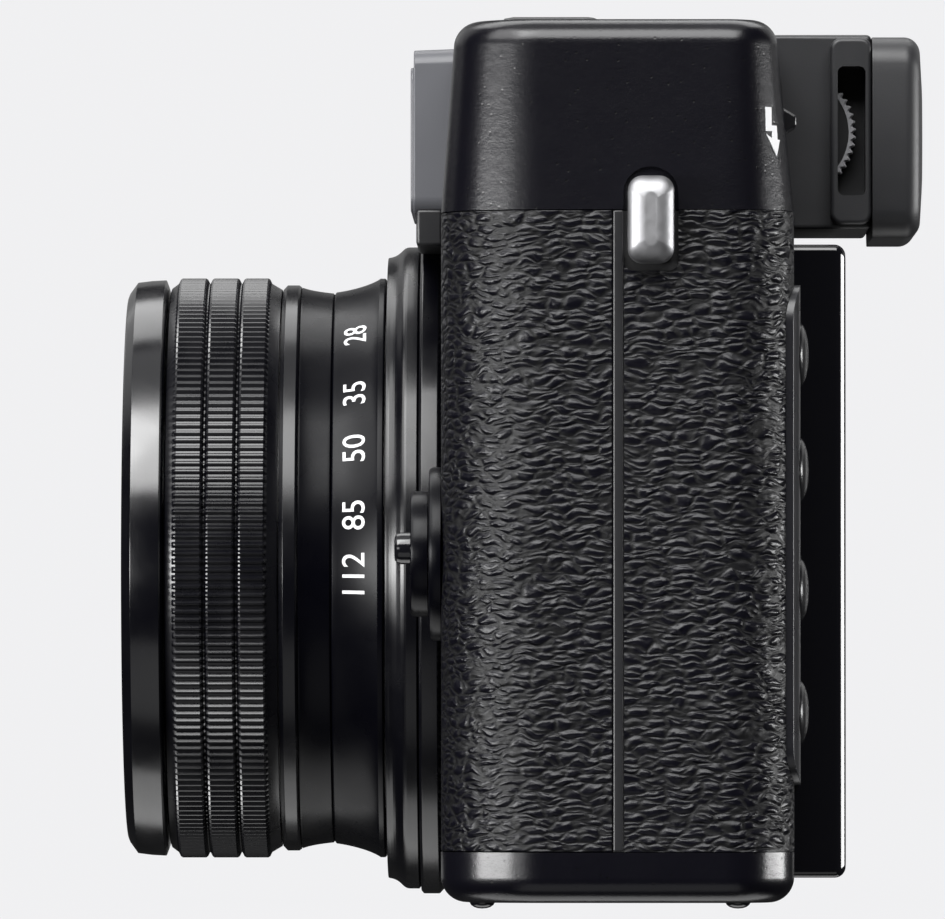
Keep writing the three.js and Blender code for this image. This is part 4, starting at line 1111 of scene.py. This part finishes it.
def rear_side():
    frame_box, pane = Span("lcd_frame"), Span("lcd_glass")
    edge = 0.9

    def screen_outline(inset):
        return rectangle(frame_box.x0 + inset, frame_box.x1 - inset, frame_box.z0 + inset,
                         frame_box.z1 - inset,
                         0.6, 6)

    rings = [(screen_outline(0.0), frame_box.y0), (screen_outline(0.0), frame_box.y1 - edge)]
    for k in range(1, 9):
        turn = math.pi / 2 * k / 8
        rings.append((screen_outline(edge * (1 - math.cos(turn))),
                      frame_box.y1 - edge + edge * math.sin(turn)))
    body = loft("screen_block", rings, PLACES["y"])
    pocket = rectangle(pane.x0 - 0.08, pane.x1 + 0.08, pane.z0 - 0.08, pane.z1 + 0.08, 0.9)
    settle(carve(body, extrude("pocket", pocket, "y", pane.y0 - 0.05, 40)), GLOSS, "camera", "lcd_frame",
           slot="gloss_black")
    sheet = extrude("screen_glass_pane", rectangle(pane.x0, pane.x1, pane.z0, pane.z1, 0.8), "y", pane.y0,
                    pane.y1)
    settle(soften(sheet, 0.2, 3), SCREEN, "camera", "lcd_glass", slot="glass")

    panel = Span("button_panel")
    outline = fillet([(panel.x0, panel.z0, 0), (panel.x1, panel.z0, 3.0), (panel.x1, panel.z1, 3.0),
                      (panel.x0, panel.z1, 0)], 0, 10)
    body = extrude("side_key_panel", outline, "y", panel.y0, panel.y1)
    bend = body_plan(-0.5)
    body = combine(body, [extrude("bend", bend, "z", panel.z0 - 1, panel.z1 + 1)], "INTERSECT")
    holes = []
    for i in range(1, 5):
        key = Span(f"side_button_{i}")
        hole = rectangle(key.x0 - 0.25, key.x1 + 0.25, key.z0 - 0.25, key.z1 + 0.25,
                         (key.z1 - key.z0) / 2 + 0.2, 10)
        holes.append(extrude("hole", hole, "y", key.y0 - 1.0, 40))
    body = soften(carve(body, *holes), 0.42, 4, 45)
    settle(body, PANEL, "camera", "button_panel", slot="black_plastic")
    for i in range(1, 5):
        key = Span(f"side_button_{i}")
        half = (key.z1 - key.z0) / 2
        outline = rectangle(key.x0, key.x1, key.z0, key.z1, half - 0.03, 12)
        rise = min(1.0, key.y1 - panel.y1 + 0.1)
        rings = [(outline, key.y0)]
        for k in range(11):
            turn = math.radians(82) * k / 10
            share = math.cos(turn)
            shrunk = [(key.x + (u - key.x) * share, key.z + (v - key.z) * share) for u, v in outline]
            rings.append((shrunk, key.y1 - rise + rise * math.sin(turn) / math.sin(math.radians(82))))
        cap = loft(f"side_key_cap_{i}", rings, PLACES["y"])
        settle(cap, KEYCAP, f"side_key_{i}", f"side_button_{i}", slot="black_plastic", sharp=50)

    panel = Span("control_panel")
    command, ring = Span("command_dial"), Span("sub_dial")
    outline = fillet([(panel.x0, panel.z0, 2.4), (panel.x1, panel.z0, 0), (panel.x1, panel.z1, 0),
                      (panel.x0, panel.z1, 2.4)], 0, 10)
    body = extrude("rear_control_panel", outline, "y", panel.y0, panel.y1)
    well = circle(ring.x, ring.z, (ring.x1 - ring.x0) / 2 + 0.25, 96)
    cutters = [extrude("well", well, "y", ring.y0 - 0.1, 40),
               extrude("slot", circle(command.x, command.y, (command.x1 - command.x0) / 2 + 0.3, 64), "z",
                       command.z0 - 0.3, command.z1 + 0.3)]
    for node in ("ael_button", "disp_button", "raw_button"):
        key = Span(node)
        cutters.append(extrude("hole", circle(key.x, key.z, (key.x1 - key.x0) / 2 + 0.2, 48), "y",
                               key.y0 - 1.0, 40))
    body = soften(carve(body, *cutters), 0.2, 2, 45)
    settle(body, BLACK, "camera", "control_panel", slot="black_plastic")

    ribbed_dial("command_dial_wheel", "command_dial", (command.x, command.y), (command.x1 - command.x0) / 2,
                command.z0, command.z1, "command_wheel", PLACES["z"], 60, 0.3, chamfer=0.4)

    def back(node):
        spot = Span(node)
        return lambda u, v, h: (spot.x + u, h, spot.z + v)

    r = (ring.x1 - ring.x0) / 2
    ok = Span("ok_button")
    bore = (ok.x1 - ok.x0) / 2 + 0.25
    y0, y1 = ring.y0, ring.y1
    profile = [(bore, y0), (r, y0), (r, y1 - 0.75), (r - 0.15, y1 - 0.35), (r - 0.5, y1 - 0.05),
               (r - 1.2, y1),
               (bore + 0.9, y1 - 0.35), (bore + 0.15, y1 - 0.45), (bore, y1 - 0.6)]
    settle(revolve("sub_dial_ring", profile, back("sub_dial"), teeth=72, depth=0.18,
                   toothed=(y0 + 0.3, y1 - 0.74)),
           METAL, "ring_dial", "sub_dial", slot="black_metal", sharp=25)
    for node, name, body_name in (("ok_button", "ok_key_cap", "ok_key"),
                                  ("ael_button", "ael_key_cap", "ael_key"),
                                  ("disp_button", "disp_key_cap", "disp_key"),
                                  ("raw_button", "raw_key_cap", "raw_key")):
        key = Span(node)
        r = (key.x1 - key.x0) / 2
        base = key.y0 + 0.3
        dome = [(0, base), (r, base), (r, key.y1 - 0.45), (r - 0.1, key.y1 - 0.22), (r - 0.35, key.y1 - 0.06),
                (r * 0.5, key.y1), (0, key.y1)]
        settle(revolve(name, dome, back(node), segments=64), KEYCAP, body_name, node, slot="black_plastic",
               sharp=40)


def underside():
    door, latch, socket = Span("battery_door"), Span("door_latch"), Span("tripod_socket")
    hinge_x, hinge_z, hinge_r = door.x0 + 1.15, door.z0 + 1.25, 1.15
    outline = fillet([(hinge_x, door.z0, 0), (door.x1, door.z0, 0.25), (door.x1, door.z1, 0.25),
                      (hinge_x, door.z1, 0)], 0, 4)
    body = extrude("battery_lid", outline, "y", door.y0, door.y1)
    knuckle = extrude("knuckle", circle(hinge_x, hinge_z, hinge_r, 40), "y", door.y0, door.y1)
    body = join(body, knuckle)
    recess = rectangle(latch.x0 - 2.2, latch.x1 + 0.2, latch.y0 - 0.2, latch.y1 + 0.2, 0.4)
    body = soften(carve(body, extrude("recess", recess, "z", -1, latch.z1 + 0.05)), 0.15, 2, 40)
    settle(body, BLACK, "base_door", "battery_door", slot="black_plastic")
    knob = extrude("door_latch_knob", rectangle(latch.x0, latch.x1, latch.y0, latch.y1, 0.35), "z", latch.z0,
                   latch.z1)
    ribs = [box(x - 0.14, x + 0.14, latch.y0 + 0.4, latch.y1 - 0.4, latch.z0 - 1, latch.z0 + 0.22)
            for x in (latch.x - 0.7, latch.x, latch.x + 0.7)]
    settle(soften(carve(knob, *ribs), 0.08, 2), KEYCAP, "base_latch", "door_latch", slot="black_plastic")

    bore, z0, z1 = 3.2, socket.z0, socket.z1
    flange = (socket.x1 - socket.x0) / 2
    barrel = 4.6
    shoulder = BASE.z0 + 1.0 + 0.5
    profile = [(bore + 0.35, z0), (flange - 0.2, z0), (flange, z0 + 0.2), (flange, shoulder),
               (barrel, shoulder),
               (barrel, z1), (bore, z1)]
    turns = int((z1 - z0 - 0.9) / 0.6)
    for k in range(turns):
        z = z1 - 0.5 - 0.6 * k
        profile += [(bore, z), (bore + 0.28, z - 0.3)]
    settle(revolve("tripod_bush", profile, PLACES["z"], (socket.x, socket.y), 96), CHROME, "camera",
           "tripod_socket",
           slot="chrome", sharp=28)

    cover = Span("terminal_cover")
    outline = rectangle(cover.y0, cover.y1, cover.z0, cover.z1, 0.7)
    flap = soften(extrude("terminal_flap", outline, "x", cover.x0, cover.x1), 0.18, 3)
    settle(flap, BLACK, "side_cover", "terminal_cover", slot="black_plastic")


def insides():
    """The carried-over inner pieces keep their CAD shapes and get their own materials."""
    finishes = {"chassis": METAL_DARK, "image_sensor": SCREEN, "main_board": BOARD, "battery": LABEL,
                "memory_card": LABEL, "finder_zoom_lens": WINDOW_GLASS}
    for obj in list(bpy.context.scene.objects):
        node = obj.name.split(".")[0]
        if node in finishes and obj.type == "MESH":
            obj.data.materials.clear()
            obj.data.materials.append(finishes[node])


# ------------------------------------------------------------------ stage

def studio():
    pale = Recipe("pale_studio", (0.87, 0.87, 0.88), 1.0, Specular_IOR_Level=0.0)
    pale.set("Base Color", (0, 0, 0, 1))
    pale.set("Emission Color", (0.985, 0.985, 1.0, 1))
    pale.set("Emission Strength", 0.885)
    pale.tint(pale.noise(0.004, 2), (0.0, 0.0, 0.0), (0.002, 0.002, 0.002))
    pale.material.cycles.emission_sampling = "NONE"
    reach, cove, top = 3000.0, 600.0, 4200.0
    arc = [math.pi / 2 * k / 12 for k in range(13)]
    floor = [(0, 0)] + [(reach - cove + cove * math.sin(t), cove * (1 - math.cos(t))) for t in arc]
    roof = [(reach * math.cos(t), 2200 + (top - 2200) * math.sin(t)) for t in arc[:-1]] + [(0, top)]
    outline = floor + roof
    vertices, faces, size, turns = [], [], len(outline), 64
    for k in range(turns):
        c, s = math.cos(TAU * k / turns), math.sin(TAU * k / turns)
        vertices += [(r * c, r * s, z) for r, z in outline]
    for k in range(turns):
        a, b = k * size, (k + 1) % turns * size
        faces.append((a, a + 1, b + 1))
        faces.append((a + size - 2, a + size - 1, b + size - 2))
        faces += [(a + i, a + i + 1, b + i + 1, b + i) for i in range(1, size - 2)]
    room = new_object("studio_floor", vertices, faces)
    room.data.shade_smooth()
    room.data.materials.append(pale.material)
    room.visible_diffuse = room.visible_glossy = room.visible_shadow = False

    def softbox(name, azimuth, elevation, distance, width, height, radiance):
        """A soft light seen from the camera at these angles; azimuth turns from +X to the front."""
        light = bpy.data.lights.new(name, "AREA")
        light.shape = "RECTANGLE"
        light.size, light.size_y = width, height
        light.energy = radiance * math.pi * width * height
        obj = bpy.data.objects.new(name, light)
        turn, rise = math.radians(azimuth), math.radians(elevation)
        way = Vector((math.cos(turn) * math.cos(rise), -math.sin(turn) * math.cos(rise), math.sin(rise)))
        obj.location = Vector((0.02, 0.0, 0.035)) + distance * way
        obj.rotation_euler = way.to_track_quat("Z", "Y").to_euler()
        obj.visible_camera = False
        bpy.context.scene.collection.objects.link(obj)

    softbox("strip_front", 57, 0, 1.0, 0.78, 0.24, 22.0)
    softbox("strip_front_edge", 28, 0, 1.0, 0.30, 0.24, 3.6)
    softbox("softbox_front_high", 52, 44, 1.0, 0.85, 0.70, 5.0)
    softbox("softbox_near", 0, 49, 1.1, 1.1, 0.74, 8.5)
    softbox("softbox_overhead", 0, 84, 1.1, 1.1, 0.56, 0.8)
    softbox("softbox_top", 0, 120, 0.9, 1.1, 0.50, 3.4)
    softbox("strip_rear", -92, 0, 0.9, 0.7, 0.16, 20.0)
    softbox("softbox_far", 180, 10, 1.0, 1.0, 0.5, 0.3)
    softbox("softbox_far_front", 140, 25, 1.0, 0.6, 0.6, 0.5)
    softbox("softbox_far_rear", -140, 25, 1.0, 0.6, 0.6, 0.5)
    softbox("bounce_near", 0, -48, 1.0, 0.8, 0.6, 0.5)
    softbox("bounce_below", 0, -108, 0.5, 0.6, 0.32, 1.9)

    world = bpy.data.worlds.new("studio_world")
    world.use_nodes = True
    world.node_tree.nodes["Background"].inputs["Color"].default_value = (1.0, 1.0, 1.0, 1)
    world.node_tree.nodes["Background"].inputs["Strength"].default_value = 0.02
    bpy.context.scene.world = world

    view = bpy.data.cameras.new("photo_view")
    view.sensor_width = 36.0
    view.lens = 518.1
    view.clip_end = 50.0
    camera = bpy.data.objects.new("photo_view", view)
    camera.location = (1.1193, 0.0033, 0.0149)
    yaw, pitch = math.radians(0.377), math.radians(1.097)
    way = Vector((-math.cos(yaw) * math.cos(pitch), -math.sin(yaw) * math.cos(pitch), math.sin(pitch)))
    camera.rotation_euler = way.to_track_quat("-Z", "Y").to_euler()
    bpy.context.scene.collection.objects.link(camera)
    bpy.context.scene.camera = camera
    bpy.context.scene.view_settings.view_transform = "Standard"


top_plate()
bottom_plate()
leather()
seams()
finder()
eyepiece()
lens()
lens_numbers()
top_controls()
flash()
flash_sign()
strap_lugs()
focus_selector()
rear_side()
underside()
insides()
studio()
